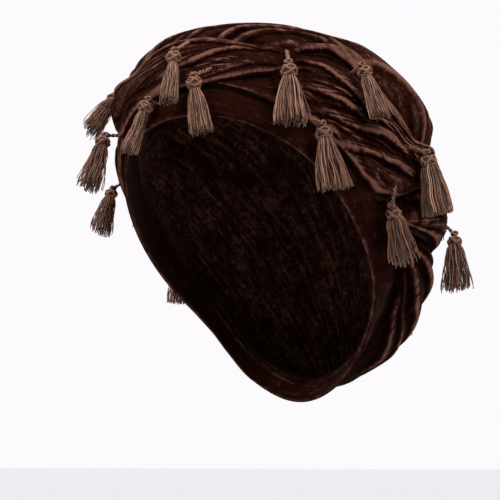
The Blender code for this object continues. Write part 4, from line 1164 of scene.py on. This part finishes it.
def camera():
    """Camera at the photograph's angle, aimed so that the hollow's middle shows at its place in the frame."""
    turn, rise = np.radians(VIEW_TURN), np.radians(VIEW_RISE)
    back = np.array([np.sin(turn) * np.cos(rise), -np.cos(turn) * np.cos(rise), np.sin(rise)])
    right = np.array([np.cos(turn), np.sin(turn), 0])
    up = np.cross(back, right)
    lens = bpy.data.cameras.new("camera")
    lens.lens = SENSOR_WIDTH * VIEW_DISTANCE / (PICTURE_WIDTH * PICTURE_POINT)
    lens.clip_start = 0.05
    target = -right * AIM[0] * PICTURE_POINT - up * AIM[1] * PICTURE_POINT
    bpy.context.scene.camera = aimed(bpy.data.objects.new("camera", lens), back * VIEW_DISTANCE, target)


def studio():
    """Plain pale floor, pale surroundings and soft square lights aimed at the turban."""
    mesh = bpy.data.meshes.new("floor")
    corners = ((-1, -1), (1, -1), (1, 1), (-1, 1))
    mesh.from_pydata([(x * FLOOR_HALF, y * FLOOR_HALF, FLOOR_LEVEL) for x, y in corners], [], [(0, 1, 2, 3)])
    floor = shown(bpy.data.objects.new("floor", mesh))
    paint, _, shader = new_material("pale_floor")
    fill(shader, {"Base Color": (0.88, 0.87, 0.89, 1), "Roughness": 0.9})
    mesh.materials.append(paint)
    world = bpy.data.worlds.new("studio")
    bpy.context.scene.world = world
    world.use_nodes = True
    fill(world.node_tree.nodes["Background"], {"Color": (0.99, 0.973, 1, 1), "Strength": 0.98})
    for name, place, size, power, colour in LIGHTS:
        lamp = bpy.data.lights.new(name, "AREA")
        lamp.size = size
        lamp.spread = np.radians(LIGHT_SPREAD)
        lamp.energy = power
        lamp.color = colour
        aimed(bpy.data.objects.new(name, lamp), place, (0, 0, 0))


def dress():
    """Make every piece of the turban, attach it to the root body and hide the plain part of its node."""
    group = velvet_pile_group()
    bag_velvet = velvet("crushed_velvet", group, 0.54, BAG_COLOURS, 0.036)
    band_velvet = velvet("band_velvet", group, 0.46, BAND_COLOURS, 0.03)
    yarn = silky_yarn()
    plain_top = cloth_maps(PLAIN_STEP, False)[1]
    beds, top = cloth_maps(FINE_STEP, True)
    pieces = [(headband(band_velvet), "headband", "band_velvet"), (crown(bag_velvet), "crown", "velvet")]
    for strip in SWATHES:
        pieces.append((swathe(strip, *beds[strip.name], bag_velvet), strip.name, "velvet"))
    for number, lock in enumerate(TASSELS, 1):
        name = f"tassel_{number:02d}"
        pieces.append((tassel(name, lock, plain_top, top, yarn, FIRST_SEED + number), name, "yarn"))
    for piece, node, finish in pieces:
        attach(piece, "root")
        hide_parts(node)


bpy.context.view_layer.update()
bpy.context.scene.view_settings.view_transform = "Standard"
dress()
studio()
camera()
